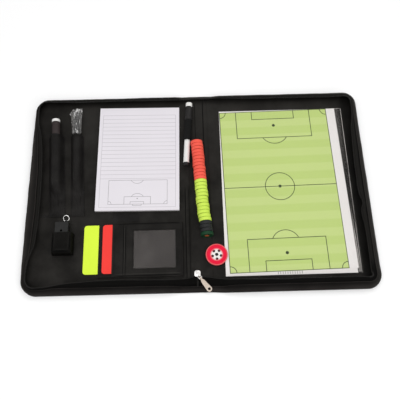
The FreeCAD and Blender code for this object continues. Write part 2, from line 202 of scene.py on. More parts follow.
# Pebbled grain of coated cloth
GRAIN, take = group("Pebble grain", {"Place": None, "Cells": 900.0}, "Height", "Tone")
drift = cloudy(take["Place"], 210.0, 3.0, out="Color")
moved = vectors("MULTIPLY_ADD", drift, (0.0011, 0.0011, 0.0011), take["Place"])
pebble = remap(celled(moved, take["Cells"], "DISTANCE_TO_EDGE"), 0.0, 0.3)
pores = cloudy(take["Place"], 3600.0)
give(GRAIN, Height=plus(times(pores, 0.35), pebble),
     Tone=remap(cloudy(take["Place"], 22.0, 5.0, 0.62), 0.3, 0.72))

# Diagonal weave of tape and elastic
WEAVE, take = group("Twill weave", {"Run": None, "Pitch": 0.0008}, "Height", "Tone")
x, y, _ = axes(take["Run"])
turn = per(2 * math.pi, take["Pitch"])
rising = sine(times(plus(x, y), turn))
across = sine(times(minus(x, y), turn))
yarn = times(plus(times(rising, 0.5), 0.5), plus(times(across, 0.25), 0.75))
fuzz = cloudy(take["Run"], 900.0, 4.0)
give(WEAVE, Height=plus(times(fuzz, 0.3), yarn), Tone=times(yarn, fuzz))

# Handling: broad uneven tone, dust specks and fine rubbed scratches
WEAR, take = group("Handling wear", {"Place": None}, "Tone", "Specks", "Rubs")
broad = cloudy(take["Place"], 14.0, 6.0, 0.6)
sparse = cloudy(take["Place"], 60.0)
speck = times(remap(celled(take["Place"], 420.0), 0.13, 0.05), remap(sparse, 0.55, 0.7))
slant = mapped(take["Place"], Rotation=(0.0, 0.0, 0.6), Scale=(900.0, 45.0, 45.0))
give(WEAR, Tone=remap(broad, 0.3, 0.7), Specks=speck, Rubs=remap(cloudy(slant, 1.0, 3.0), 0.58, 0.75))

# Paper fibres
FIBRE, take = group("Paper fibre", {"Place": None}, "Height", "Tone")
felt = cloudy(take["Place"], 700.0, 5.0, 0.7)
give(FIBRE, Height=felt, Tone=plus(times(felt, 0.4), times(cloudy(take["Place"], 16.0, 3.0), 0.6)))


def printed(away, width):
    """Mask of a printed line from the distance to its middle."""
    return remap(per(away, width), 0.62, 0.38)


# Printed line round a rectangle, printed ring, and five-sided patch
BOX_LINE, take = group("Box line", {"Place": None, "Centre": None, "Half": None, "Width": 0.0008}, "Mask")
reach = vectors("ABSOLUTE", vectors("SUBTRACT", take["Place"], take["Centre"]))
x, y, _ = axes(vectors("SUBTRACT", reach, take["Half"]))
give(BOX_LINE, Mask=printed(size_of(strongest(x, y)), take["Width"]))

RING_LINE, take = group("Ring line", {"Place": None, "Centre": None, "Radius": 0.02, "Width": 0.0008}, "Mask")
apart = vectors("DISTANCE", vectors("MULTIPLY", take["Place"], (1.0, 1.0, 0.0)), take["Centre"])
give(RING_LINE, Mask=printed(size_of(minus(apart, take["Radius"])), take["Width"]))

FIVE, take = group("Five sides", {"Place": None, "Centre": None, "Size": 0.002, "Turn": 0.0}, "Mask")
offset = vectors("SUBTRACT", take["Place"], take["Centre"])
turned = add(FIVE, "VectorRotate", {"Vector": offset, "Angle": take["Turn"]}, rotation_type="Z_AXIS")[0]
reach = strongest(*(vectors("DOT_PRODUCT", turned, (math.cos(k * FIFTH), math.sin(k * FIFTH), 0)) for k in range(5)))
give(FIVE, Mask=remap(per(reach, take["Size"]), 1.06, 0.94))


# ---------------------------------------------------------------- materials

def material(name):
    """Material with a bare skin, and the coordinates of the piece that wears it."""
    made = bpy.data.materials.new(name)
    made.use_nodes = True
    tree = made.node_tree
    tree.nodes.clear()
    add(tree, "OutputMaterial", {"Surface": add(tree, "BsdfPrincipled", {})[0]})
    return made, add(tree, "TexCoord", {})["Object"]


def coat(made, colour, rough, height=None, depth=0.0, shine=0.5, metal=0.0, alpha=1.0):
    """Fills the skin of a material; height gives bumps of the depth named, in metres."""
    tree = made.node_tree
    feeds = {"Base Color": shade(colour), "Roughness": rough, "Specular IOR Level": shine, "Metallic": metal,
             "Alpha": alpha}
    if height is not None:
        feeds["Normal"] = add(tree, "Bump", {"Height": height, "Distance": depth, "Strength": 1.0})[0]
    fill(tree.nodes["Principled BSDF"], feeds)
    return made


def coated_cloth(name, dark, light, cells=820.0, depth=0.00016, rough=(0.42, 0.62), shine=0.2, seams=None,
                 fade=0.0):
    """Pebbled coated cloth; seams(place) may return two masks: painted shade over grooves and shadowed parts, and
    painted light over ridges and lit parts.

    fade paints shade on the cloth toward the far side of its width, where it turns under a seam.
    """
    made, place = material(name)
    grain = use(GRAIN, Place=place, Cells=cells)
    wear = use(WEAR, Place=place)
    tone = mix(grain["Tone"], dark, light)
    tone = mix(times(wear["Specks"], 0.5), tone, (0.09, 0.085, 0.08))
    if fade:
        # painted shade toward the far side of the width, under the seam
        tone = mix(times(remap(run_across(place), 0.55, 0.97), fade), tone, (0.001, 0.0009, 0.0008))
    if seams:
        # the first mask paints shade, the second paints light
        painted_shade, painted_light = seams(place)
        tone = mix(painted_light, tone, (0.034, 0.032, 0.029))
        tone = mix(painted_shade, tone, (0.0008, 0.0008, 0.0007))
    return coat(made, tone, remap(wear["Tone"], 0.0, 1.0, *rough), grain["Height"], depth, shine)


def woven(name, dark, light, size, pitch=0.0009, depth=0.00022, groove=0.0, near=1.0):
    """Woven tape; size is the strip's length and width in metres, spread over its run coordinates.

    groove is the share of the width beside the seam that lies in shadow, painted darker; near below 1 paints shade
    over the stretch along the near edge, keeping that share of the tape's tone.
    """
    made, place = material(name)
    spread = add(made.node_tree, "TexCoord", {})["UV"]
    yarn = use(WEAVE, Run=mapped(spread, Scale=(*size, 1.0)), Pitch=pitch)
    tone = mix(yarn["Tone"], dark, light)
    if groove:
        tone = mix(remap(run_across(place), groove, 0.0), tone, (0.0008, 0.0007, 0.0006))
    # painted shade over the tape along the near edge
    if near < 1.0:
        tone = mix(remap(axes(place)[1], -0.128, -0.15, 0.0, 1.0 - near), tone, (0.0006, 0.0005, 0.0004))
    return coat(made, tone, remap(yarn["Height"], 0.0, 1.3, 0.87, 0.67), yarn["Height"], depth, 0.06)


def moulded(name, base, worn, rough=(0.28, 0.42), shine=0.5):
    """Moulded plastic with faint flow marks and rubbed scratches."""
    made, place = material(name)
    wear = use(WEAR, Place=place)
    tone = mix(times(wear["Tone"], 0.6), base, worn)
    tone = mix(times(wear["Rubs"], 0.25), tone, worn)
    return coat(made, tone, remap(wear["Rubs"], 0.0, 1.0, *rough), cloudy(place, 1500.0, 3.0), 0.00003, shine)


def plated(name, base, dull, rough=(0.2, 0.38)):
    """Bright plated metal, finely brushed and dulled by handling."""
    made, place = material(name)
    wear = use(WEAR, Place=place)
    tone = mix(wear["Tone"], base, dull)
    brushed = cloudy(place, 2200.0, 4.0)
    return coat(made, tone, remap(wear["Rubs"], 0.0, 1.0, *rough), brushed, 0.00004, metal=1.0)


def paper(name, base, darker, marks=None, ink=(0.06, 0.06, 0.065), layers=False):
    """Paper; marks(place) may return a mask of printed lines. layers draws sheet edges on the sides."""
    made, place = material(name)
    fibre = use(FIBRE, Place=place)
    tone = mix(fibre["Tone"], base, darker)
    height = fibre["Height"]
    if layers:
        edge = plus(times(sine(times(axes(place)[2], 24000.0)), 0.5), 0.5)
        tone = mix(times(edge, 0.4), tone, (0.35, 0.34, 0.35))
        height = plus(height, edge)
    if marks:
        tone = mix(marks(place), tone, ink)
    return coat(made, tone, remap(fibre["Tone"], 0.0, 1.0, 0.62, 0.8), height, 0.00004, 0.25)


def clear_film(name, haze, colour, rough, scale=60.0, edge=0.5, marks=None):
    """Thin clear film: mostly see-through, with a hazy bloom, glancing shine and soft ripples."""
    made, place = material(name)
    wear = use(WEAR, Place=place)
    hides = plus(times(glancing(place, 0.25), edge), remap(wear["Tone"], 0.0, 1.0, *haze))
    hides = plus(times(wear["Rubs"], haze[0] * 0.4), hides)
    if marks:
        hides = strongest(hides, marks(place))
    dull = remap(wear["Rubs"], 0.0, 1.0, rough, rough + 0.1)
    return coat(made, colour, dull, cloudy(place, scale), 0.0003, alpha=hides)


# ---------------------------------------------------------------- printed and sewn lines, in millimetres

def box_line(place, x0, x1, y0, y1, width):
    return use(BOX_LINE, Place=place, Centre=((x0 + x1) / 2 * MM, (y0 + y1) / 2 * MM, 0.0),
               Half=((x1 - x0) / 2 * MM, (y1 - y0) / 2 * MM, 1.0), Width=width * MM)[0]


def ring_line(place, x, y, radius, width):
    return use(RING_LINE, Place=place, Centre=(x * MM, y * MM, 0.0), Radius=radius * MM, Width=width * MM)[0]


def spot(place, x, y, radius):
    return ring_line(place, x, y, 0.0, 2 * radius)


def within(value, low, high):
    """1 where value lies between low and high."""
    return times(maths("GREATER_THAN", value, low * MM), maths("LESS_THAN", value, high * MM))


def slant_line(place, start, end, width, fade=0.5):
    """Mask of a thin line from start down to end, given as x and y; it fades in over its first stretch."""
    x, y, _ = axes(place)
    lean = (end[0] - start[0]) / (end[1] - start[1])
    off = minus(minus(x, start[0] * MM), times(minus(y, start[1] * MM), lean))
    fading = remap(y, start[1] * MM, (start[1] - fade) * MM)
    return times(printed(size_of(off), width * MM), times(within(y, end[1], start[1]), fading))


def local(place, corner, turn):
    """Coordinates that run from a sheet's far left corner, turned with the sheet."""
    return mapped(place, "TEXTURE", Location=(corner[0] * MM, corner[1] * MM, 0.0),
                  Rotation=(0.0, 0.0, math.radians(turn)))


def straight(across, along, at, width, span, strength):
    """Soft line where across equals at, kept to a span of along."""
    soft = remap(per(size_of(minus(across, at * MM)), width * MM), 0.75, 0.2)
    inside = times(remap(along, (span[0] - 6) * MM, (span[0] + 6) * MM),
                   remap(along, (span[1] + 6) * MM, (span[1] - 6) * MM))
    return times(soft, inside, strength)


def leaf_edge_shading(place):
    """Painted shade in the gaps at the folded edges of the pocket leaves and the two lines of the hem along the near
    side, with painted highlights where the folds catch the light.
    """
    x, y, _ = axes(place)
    run = (-147.0, -66.0)
    wide = (-136.0, -36.0)
    painted_shade = [straight(x, y, at, 1.3, run, 0.9) for at in (-125.4, -144.6, -122.0)]
    painted_shade += [straight(y, x, -148.2, 2.2, wide, 0.7), straight(y, x, -62.2, 2.0, wide, 0.8)]
    painted_light = [straight(x, y, at, 1.2, run, 0.55) for at in (-123.8, -142.9)]
    painted_light += [straight(y, x, -145.4, 1.3, wide, 0.7), straight(y, x, -150.2, 1.5, wide, 0.75)]
    return strongest(*painted_shade), strongest(*painted_light)


def pouch_seam_shading(place):
    """Stitched panel on the pouch: painted shade in lines beside its sides and across its closed end, and faint
    painted highlights just inside them.
    """
    x, y, _ = axes(place)
    painted_shade = [straight(x, y, at, 2.6, (-106.0, -82.0), 0.75) for at in (-235.6, -208.8)]
    painted_shade.append(straight(y, x, -108.0, 3.0, (-234.0, -210.0), 0.85))
    painted_light = [straight(x, y, at, 1.6, (-104.0, -80.0), 0.12) for at in (-233.4, -211.0)]
    painted_light.append(straight(y, x, -105.4, 1.8, (-232.0, -212.0), 0.14))
    return strongest(*painted_shade), strongest(*painted_light)


def spine_seam_shading(place):
    """Welded lines beside the fold, along its far part and its near part, with painted shade in them and painted
    highlights on their lips.

    The shadow of the rim on the lining beside it is painted in with the shade, and painted light over the lining's
    broad far part goes with the highlights.
    """
    x, y, _ = axes(place)
    far = (48.0, 168.0)
    near = (-160.0, -2.0)
    painted_shade = [straight(x, y, -4.6, 1.6, far, 0.6), straight(x, y, 9.6, 1.8, far, 0.85),
            straight(x, y, -24.6, 1.6, near, 0.85), straight(x, y, -18.6, 1.6, near, 0.7)]
    painted_light = [straight(x, y, -1.8, 1.8, far, 0.22), straight(x, y, 11.4, 1.8, far, 0.3),
              straight(x, y, -22.8, 1.6, near, 0.22)]
    # painted shadow of the rim on the lining along the right side and the far edge
    rim_shadow = strongest(remap(x, 0.246, 0.2625, 0.0, 0.72), remap(y, 0.157, 0.166, 0.0, 0.42))
    # painted light over the far part of the lining
    lit_far_part = times(remap(y, 0.0, 0.14), remap(x, -0.25, -0.2, 0.0, 0.32))
    return strongest(*painted_shade, rim_shadow), strongest(*painted_light, lit_far_part)


def wall_shade_and_light(place):
    """Painted light on the wall along the far edge and the two sides, and painted shade along the near edge."""
    x, y, _ = axes(place)
    # painted light along the far edge and the two sides
    rubbed = strongest(remap(y, 0.160, 0.169, 0.0, 0.9), remap(x, 0.255, 0.272, 0.0, 0.42),
                       remap(x, -0.255, -0.272, 0.0, 0.1))
    # the first mask is painted shade along the near edge
    return remap(y, -0.156, -0.166, 0.0, 0.26), rubbed


PRINT_W = 190.0
PRINT_H = 290.0
HALFWAY = -144.6
# each end: goal line, way into the pitch, sides and depth of the penalty area, sides and depth of the goal area,
# depth of the spot, depth of the bow's centre and its radius
PITCH_ENDS = ((0.0, -1.0, 29.0, 159.0, 52.5, 57.0, 131.0, 16.0, 29.0, 40.2, 23.9),
              (-PRINT_H, 1.0, 31.6, 159.0, 54.6, 58.4, 132.0, 18.0, 30.0, 45.2, 23.1))
OFF_PRINT = 20.0


def pitch_marks(place):
    """Lines of a football pitch over the printed part of the sheet; place runs from its far left corner."""
    x, y, _ = axes(place)
    mid = 94.0
    thick = 1.15
    edge = 0.6
    spot_r = 2.7
    masks = [box_line(place, edge, PRINT_W - edge, edge - PRINT_H, -edge, 1.0),
             box_line(place, edge, PRINT_W - edge, HALFWAY, OFF_PRINT, thick),
             ring_line(place, mid, HALFWAY, 24.5, thick), spot(place, mid, HALFWAY, spot_r)]
    for goal, way, left, right, deep, near_l, near_r, near, kick, bow_at, bow_r in PITCH_ENDS:
        behind = goal - way * OFF_PRINT
        bow = ring_line(place, mid, goal + way * bow_at, bow_r, thick)
        masks += [box_line(place, left, right, *sorted((behind, goal + way * deep)), thick),
                  box_line(place, near_l, near_r, *sorted((behind, goal + way * near)), thick),
                  spot(place, mid, goal + way * kick, spot_r),
                  times(bow, within(times(y, way), way * goal + deep, way * goal + 90.0))]
        masks += [ring_line(place, side, goal + way * edge, 10.5, thick) for side in (edge, PRINT_W - edge)]
    return times(strongest(*masks), times(within(x, 0.0, PRINT_W), within(y, -PRINT_H, 0.0)))


def pitch_sheet_look():
    """Bare paper with a pitch printed on it in two greens."""
    made, place = material("printed_pitch")
    place = local(place, (38.5, 141.0), 0.95)
    x, y, _ = axes(place)
    fibre = use(FIBRE, Place=place)
    stripe = remap(sine(times(plus(y, 0.0019), math.pi / 0.0146)), -0.25, 0.25)
    green = mix(stripe, (0.488, 0.609, 0.196), (0.535, 0.642, 0.238))
    green = mix(times(fibre["Tone"], 0.22), green, (0.428, 0.558, 0.164))
    green = mix(pitch_marks(place), green, (0.035, 0.055, 0.02))
    bare = mix(fibre["Tone"], (0.80, 0.77, 0.75), (0.72, 0.69, 0.67))
    inside = times(within(x, -1.0, PRINT_W), within(y, -PRINT_H - 1.0, 1.0))
    rough = remap(fibre["Tone"], 0.0, 1.0, 0.5, 0.68)
    return coat(made, mix(inside, bare, green), rough, fibre["Height"], 0.00003, 0.2)


def net_marks(place):
    """Short upright strokes of a goal net on the bare strip below the pitch."""
    x, y, _ = axes(place)
    gap = maths("FRACT", per(x, 3.8 * MM))
    stroke = remap(size_of(minus(gap, 0.5)), 0.17, 0.11)
    return times(stroke, times(within(x, 119.0, 160.5), within(y, -152.2, -140.0)), 0.75)


def page_marks(place):
    """Plain training page: frame, ruled lines and half a pitch at the foot."""
    place = local(place, (-170.478, 154.078), -0.9)
    x, y, _ = axes(place)
    left, right = 6.2, 132.6
    top, ruled_end, foot = -14.9, -136.5, -186.9
    row, thick = 7.55, 0.6
    rows = to_nearest(maths("FRACT", per(minus(y, top * MM), row * MM)))
    ruled = times(remap(rows, 0.05, 0.025), within(y, ruled_end, top + 0.5), within(x, left, right))
    faint = times(strongest(box_line(place, left, right, foot, top, 0.55), ruled), 0.6)
    box = (21.0, 118.7, -181.7, -138.8)
    area_end, below = -168.4, -200.0
    bow = ring_line(place, 69.2, -174.6, 11.8, thick)
    drawn = [ring_line(place, 68.5, -133.1, 11.7, thick), spot(place, 69.1, -171.8, 1.0),
             box_line(place, 47.4, 91.1, below, area_end, thick), box_line(place, 57.6, 80.0, below, -177.4, thick),
             *(ring_line(place, corner, box[2], 5.5, thick) for corner in box[:2]),
             times(bow, within(y, area_end, -150.0))]
    half_pitch = times(strongest(*drawn), times(within(x, *box[:2]), within(y, *box[2:])))
    goal = box_line(place, 61.4, 76.0, -183.9, box[2], thick)
    return strongest(box_line(place, *box, thick), goal, half_pitch, faint)


def film_haze_and_glints(place):
    """How strongly the film shows beside the sheet: a dull bloom, and painted highlights along its cut edge and on
    the layers creased low down.
    """
    x, y, _ = axes(place)
    beside = maths("GREATER_THAN", x, 0.2425)
    far_line = times(box_line(place, 30.0, 400.0, -400.0, 143.9, 0.8), beside)
    side_line = slant_line(place, (254.6, 143.9), (251.9, -153.0), 0.8)
    creases = (slant_line(place, (248.6, -30.0), (249.8, -152.0), 1.5, 70.0),
               slant_line(place, (246.9, -50.0), (248.0, -152.0), 1.3, 60.0))
    broken = remap(cloudy(mapped(place, Scale=(900.0, 14.0, 1.0)), 1.0), 0.38, 0.6, 0.25, 1.0)
    bloom = times(remap(y, -0.05, 0.12), remap(x, 0.2555, 0.2435))
    # the cut edges and the creases show as painted highlights
    return strongest(*(times(crease, broken, 0.42) for crease in creases), times(far_line, 0.22),
                     times(side_line, broken, 0.5), times(bloom, beside, 0.045))


COIN_AT = (23.5, -117.7)
# five-sided patches on the ball: distance from its middle, place round it in fifths, size
PATCHES = ((0.0, 0.0, 2.5), *((7.2, k + 0.5, 2.1) for k in range(5)))


def coin_look():
    """Red enamel with one plain white ball and its dark patches."""
    made, place = material("coin_enamel")
    place = local(place, COIN_AT, 20.0)
    wear = use(WEAR, Place=place)
    red = mix(wear["Tone"], (0.78, 0.014, 0.050), (0.70, 0.010, 0.040))
    ball = spot(place, 0.0, 0.0, 8.9)
    patches = []
    for off, fifths, size in PATCHES:
        a = fifths * FIFTH
        centre = (off * math.cos(a) * MM, off * math.sin(a) * MM, 0.0)
        patches.append(use(FIVE, Place=place, Centre=centre, Size=size * MM, Turn=-a)[0])
    tone = mix(ball, red, mix(strongest(*patches), (0.80, 0.77, 0.74), (0.03, 0.025, 0.025)))
    return coat(made, tone, remap(wear["Rubs"], 0.0, 1.0, 0.22, 0.38), ball, 0.0002, 0.1)


STACK_START = Vector((-2.8, 81.3, 12.15))
STACK_WAY = (Vector((6.4, -64.0, 12.15)) - STACK_START).normalized()
DISC_PITCH = 6.07
LAST_FACE = 27.9
DAB_AT = Vector((9.1, -88.3, 12.4))


def magnet_look(name, base, worn, seam_shade, end_mark=None):
    """Matte magnet plastic, with painted shade in the seams between discs; end_mark colours a small disc on the near
    end.
    """
    made, place = material(name)
    wear = use(WEAR, Place=place)
    tone = mix(times(wear["Tone"], 0.7), base, worn)
    along = vectors("DOT_PRODUCT", vectors("SUBTRACT", place, STACK_START * MM), STACK_WAY / (DISC_PITCH * MM))
    seam = to_nearest(maths("FRACT", along))
    each = add(made.node_tree, "TexWhiteNoise", {"W": maths("ROUND", along)}, noise_dimensions="1D")["Value"]
    strength = times(remap(cloudy(place, 120.0), 0.35, 0.6, 0.45, 1.0), remap(each, 0.1, 0.9, 0.2, 0.8))
    # painted shade in the seams between discs, stronger on some seams than others
    tone = mix(times(remap(seam, 0.15, 0.03), strength), tone, seam_shade)
    if end_mark:
        off = vectors("DISTANCE", place, DAB_AT * MM)
        tone = mix(times(maths("GREATER_THAN", along, LAST_FACE), remap(off, 0.0042, 0.0031)), tone, end_mark)
    flow = cloudy(place, 1500.0, 3.0)
    return coat(made, tone, remap(wear["Rubs"], 0.0, 1.0, 0.5, 0.66), flow, 0.00003, 0.18)


def bag_look():
    """Crumpled clear bag: thin grey film with painted highlights along its folds and creases."""
    made, place = material("clear_bag")
    skew = mapped(place, Rotation=(0.3, 0.2, 0.5), Scale=(190.0, 70.0, 120.0))
    folds = cloudy(skew, 1.0, 3.0, 0.55, 1.2)
    more = remap(axes(place)[1], 0.132, 0.148, 0.0, 0.07)
    creases = remap(celled(skew, 1.6, "DISTANCE_TO_EDGE"), 0.07, 0.015)
    # painted highlights on the folds and creases
    glint = strongest(remap(plus(folds, more), 0.56, 0.66), times(creases, 0.5))
    hides = plus(times(glancing(place, 0.3), 0.4), remap(glint, 0.0, 1.0, 0.10, 0.60))
    tone = mix(glint, (0.36, 0.35, 0.34), (0.82, 0.81, 0.80))
    return coat(made, tone, remap(folds, 0.3, 0.7, 0.12, 0.3), folds, 0.0015, alpha=hides)


look = {
    "skin": coated_cloth("cover_hide", (0.0110, 0.0090, 0.0082), (0.0210, 0.0175, 0.0160), 620.0, 0.00022,
                         shine=0.08),
    "lining": coated_cloth("lining_cloth", (0.0105, 0.0097, 0.0087), (0.0232, 0.0216, 0.0196), 900.0, 0.00012,
                           shine=0.05, seams=spine_seam_shading),
    "wall": coated_cloth("wall_cloth", (0.0165, 0.0140, 0.0129), (0.0275, 0.0238, 0.0219), 760.0, 0.00018,
                         shine=0.05, seams=wall_shade_and_light, fade=0.75),
    "pocket": coated_cloth("pocket_cloth", (0.0088, 0.0081, 0.0077), (0.0195, 0.0182, 0.0172), shine=0.07),
    "leaf": coated_cloth("leaf_cloth", (0.0088, 0.0081, 0.0074), (0.0195, 0.0181, 0.0164), shine=0.06,
                         seams=leaf_edge_shading),
    "pouch": coated_cloth("pouch_cloth", (0.0042, 0.0039, 0.0035), (0.0092, 0.0086, 0.0077), shine=0.04,
                          seams=pouch_seam_shading),
    "tape": woven("tape_weave", (0.0100, 0.0094, 0.0084), (0.0240, 0.0227, 0.0207), (0.9, 0.0105), groove=0.36,
                  near=0.24),
    "elastic": woven("elastic_weave", (0.008, 0.008, 0.0078), (0.024, 0.024, 0.0235), (0.045, 0.037), 0.0012, 0.0003),
    "thread": woven("sewing_thread", (0.006, 0.006, 0.006), (0.02, 0.02, 0.02), (0.004, 0.001), 0.0006, 0.0001),
    "coil": moulded("coil_nylon", (0.015, 0.014, 0.013), (0.028, 0.0265, 0.025), (0.35, 0.5), 0.12),
    "nickel": plated("nickel", (0.95, 0.93, 0.91), (0.87, 0.84, 0.81), (0.3, 0.46)),
    "tab nickel": plated("tab_nickel", (0.56, 0.485, 0.415), (0.46, 0.39, 0.33), (0.46, 0.6)),
    "coin rim": moulded("rim_lacquer", (0.74, 0.120, 0.120), (0.66, 0.085, 0.090), (0.2, 0.34), 0.3),
    "steel": plated("ring_steel", (0.86, 0.85, 0.83), (0.70, 0.69, 0.67)),
    "white": moulded("white_plastic", (0.80, 0.79, 0.77), (0.66, 0.65, 0.63), shine=0.3),
    "dark": moulded("dark_plastic", (0.030, 0.022, 0.022), (0.050, 0.040, 0.039), (0.45, 0.6), 0.14),
    "cap": moulded("cap_plastic", (0.014, 0.013, 0.013), (0.030, 0.028, 0.027), (0.4, 0.55), 0.16),
    "black": moulded("black_plastic", (0.012, 0.012, 0.013), (0.030, 0.030, 0.031), shine=0.25),
    "whistle": moulded("whistle_plastic", (0.0125, 0.0125, 0.012), (0.027, 0.027, 0.026), (0.32, 0.44), 0.2),
    "orange": magnet_look("orange_magnet", (0.90, 0.112, 0.075), (0.82, 0.095, 0.062), (0.42, 0.03, 0.018)),
    "lime": magnet_look("lime_magnet", (0.62, 0.82, 0.105), (0.55, 0.75, 0.085), (0.22, 0.30, 0.03)),
    "black disc": magnet_look("black_magnet", (0.014, 0.015, 0.015), (0.026, 0.028, 0.028), (0.004, 0.004, 0.004)),
    "green": magnet_look("green_magnet", (0.006, 0.046, 0.018), (0.005, 0.034, 0.013), (0.002, 0.010, 0.004),
                         (0.45, 0.09, 0.03)),
    "yellow card": moulded("yellow_card", (0.68, 0.90, 0.054), (0.63, 0.84, 0.048), (0.5, 0.62), 0.15),
    "red card": moulded("red_card", (0.87, 0.050, 0.040), (0.82, 0.045, 0.036), (0.5, 0.62), 0.12),
    "enamel": coin_look(),
    "board": coated_cloth("grey_board", (0.10, 0.09, 0.08), (0.16, 0.15, 0.13), 2000.0, 0.00005, (0.8, 0.9)),
    "sheet": paper("spare_sheets", (0.80, 0.77, 0.75), (0.72, 0.69, 0.67), net_marks, (0.16, 0.17, 0.14)),
    "pad card": paper("pad_card", (0.42, 0.38, 0.33), (0.34, 0.31, 0.27)),
    "pad": paper("pad_sheets", (0.75, 0.72, 0.76), (0.66, 0.63, 0.67), layers=True),
    "page": paper("ruled_page", (0.755, 0.725, 0.765), (0.69, 0.66, 0.70), page_marks, (0.26, 0.25, 0.26)),
    "pitch": pitch_sheet_look(),
    "film": clear_film("cover_film", (0.003, 0.009), (0.74, 0.70, 0.66), 0.12, edge=0.12, marks=film_haze_and_glints),
    "window": clear_film("window_film", (0.028, 0.056), (0.60, 0.55, 0.53), 0.32, 40.0),
    "bag": bag_look(),
}


# ---------------------------------------------------------------- mesh helpers

def grid(nu, nv, place):
    """Sheet of nu by nv faces; place(u, v), both from 0 to 1, gives where each corner goes."""
    bm = bmesh.new()
    bm.loops.layers.uv.new("Run")
    bmesh.ops.create_grid(bm, x_segments=nu, y_segments=nv, size=0.5, calc_uvs=True)
    for vert in bm.verts:
        vert.co = place(vert.co.x + 0.5, vert.co.y + 0.5)
    return bm


def piece(name, bm, finish, facing=None, wall=0.0, close=0.0, sharp=50.0):
    """Object in metres. facing(point) points out of an open sheet; wall is the thickness laid on behind it."""
    if close:
        bmesh.ops.remove_doubles(bm, verts=bm.verts, dist=close)
    bmesh.ops.recalc_face_normals(bm, faces=bm.faces)
    if facing:
        if sum(f.normal.dot(facing(f.calc_center_median())) * f.calc_area() for f in bm.faces) < 0:
            bmesh.ops.reverse_faces(bm, faces=bm.faces)
    if wall:
        bmesh.ops.solidify(bm, geom=bm.faces[:], thickness=wall)
        bmesh.ops.recalc_face_normals(bm, faces=bm.faces)
    bmesh.ops.scale(bm, vec=(MM, MM, MM), verts=bm.verts)
    mesh = bpy.data.meshes.new(name)
    bm.to_mesh(mesh)
    bm.free()
    mesh.shade_smooth()
    mesh.set_sharp_from_angle(angle=math.radians(sharp))
    mesh.materials.append(look[finish])
    made = bpy.data.objects.new(name, mesh)
    bpy.context.scene.collection.objects.link(made)
    return made


def dress(name, bm, finish, hold, slot, nodes=(), **shape):
    """Finished piece: carried by a body, or passed to hold, which bakes its place into the mesh; the CAD nodes it
    stands for are hidden. slot is not used.
    """
    made = piece(name, bm, finish, **shape)
    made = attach(made, hold) if isinstance(hold, str) else hold(made)
    if nodes:
        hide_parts(*nodes)
    return made


def join(bm, part):
    """Moves the mesh of part into bm."""
    held = bpy.data.meshes.new("held")
    part.to_mesh(held)
    part.free()
    bm.from_mesh(held)
    bpy.data.meshes.remove(held)


def level_edges(bm):
    return [e for e in bm.edges if abs(e.verts[0].co.z - e.verts[1].co.z) < 0.001]


def round_off(bm, edges, radius, steps):
    bmesh.ops.bevel(bm, geom=edges, offset=radius, offset_type="OFFSET", segments=steps, profile=0.5, affect="EDGES",
                    material=-1)


def clamp(value, low=0.0, high=1.0):
    return max(low, min(high, value))


def upward(point):
    return UP


def outward(point):
    """Level way out of the folder, from a block in its middle."""
    return Vector((point.x - clamp(point.x, -200.0, 200.0), point.y - clamp(point.y, -100.0, 100.0), 0))


def smooth(t):
    t = clamp(t)
    return t * t * (3 - 2 * t)


def ridge(off, width):
    """Soft bump, 1 in its middle and gone a few widths away."""
    return math.exp(-(off / width) ** 2)


def ease(value, low, high):
    return smooth((value - low) / (high - low))


def bead(rows, at, along, up, length, width, rise):
    """Adds the place and size of one stitch or zip tooth to rows."""
    x = along.normalized()
    y = up.cross(x).normalized()
    z = x.cross(y)
    turn = Matrix((x, y, z)).transposed().to_4x4()
    rows.append(Matrix.Translation(at) @ turn @ Matrix.Diagonal((length / 2, width / 2, rise / 2, 1.0)))


def beads(rows):
    """One mesh of small rounded beads, one for each entry of rows."""
    bm = bmesh.new()
    bm.loops.layers.uv.new("Run")
    bmesh.ops.create_uvsphere(bm, u_segments=6, v_segments=4, radius=1.0, calc_uvs=True)
    round_bead = bpy.data.meshes.new("bead")
    bm.to_mesh(round_bead)
    bm.free()
    bm = bmesh.new()
    for place in rows:
        one = round_bead.copy()
        one.transform(place)
        bm.from_mesh(one)
        bpy.data.meshes.remove(one)
    bpy.data.meshes.remove(round_bead)
    return bm


def sew(name, rows, hold, slot):
    return dress(name, beads(rows), "thread", hold, slot, sharp=80)


def stitches(rows, path, count, length=2.6):
    """Row of thread stitches; path(t) gives a point on the cloth for t from 0 to 1."""
    for i in range(count):
        t = (i + 0.5) / count
        bead(rows, path(t), path(min(1, t + 0.004)) - path(max(0, t - 0.004)), UP, length, THREAD, THREAD * 0.8)


def line(a, b):
    a, b = Vector(a), Vector(b)
    return lambda t: a.lerp(b, t)


def bend_left(made):
    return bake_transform(made)


def bend_right(made):
    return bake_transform(made)


BEND = {-1: bend_left, 1: bend_right}
SIDE = {-1: "left", 1: "right"}


# ---------------------------------------------------------------- soft wall round the rim

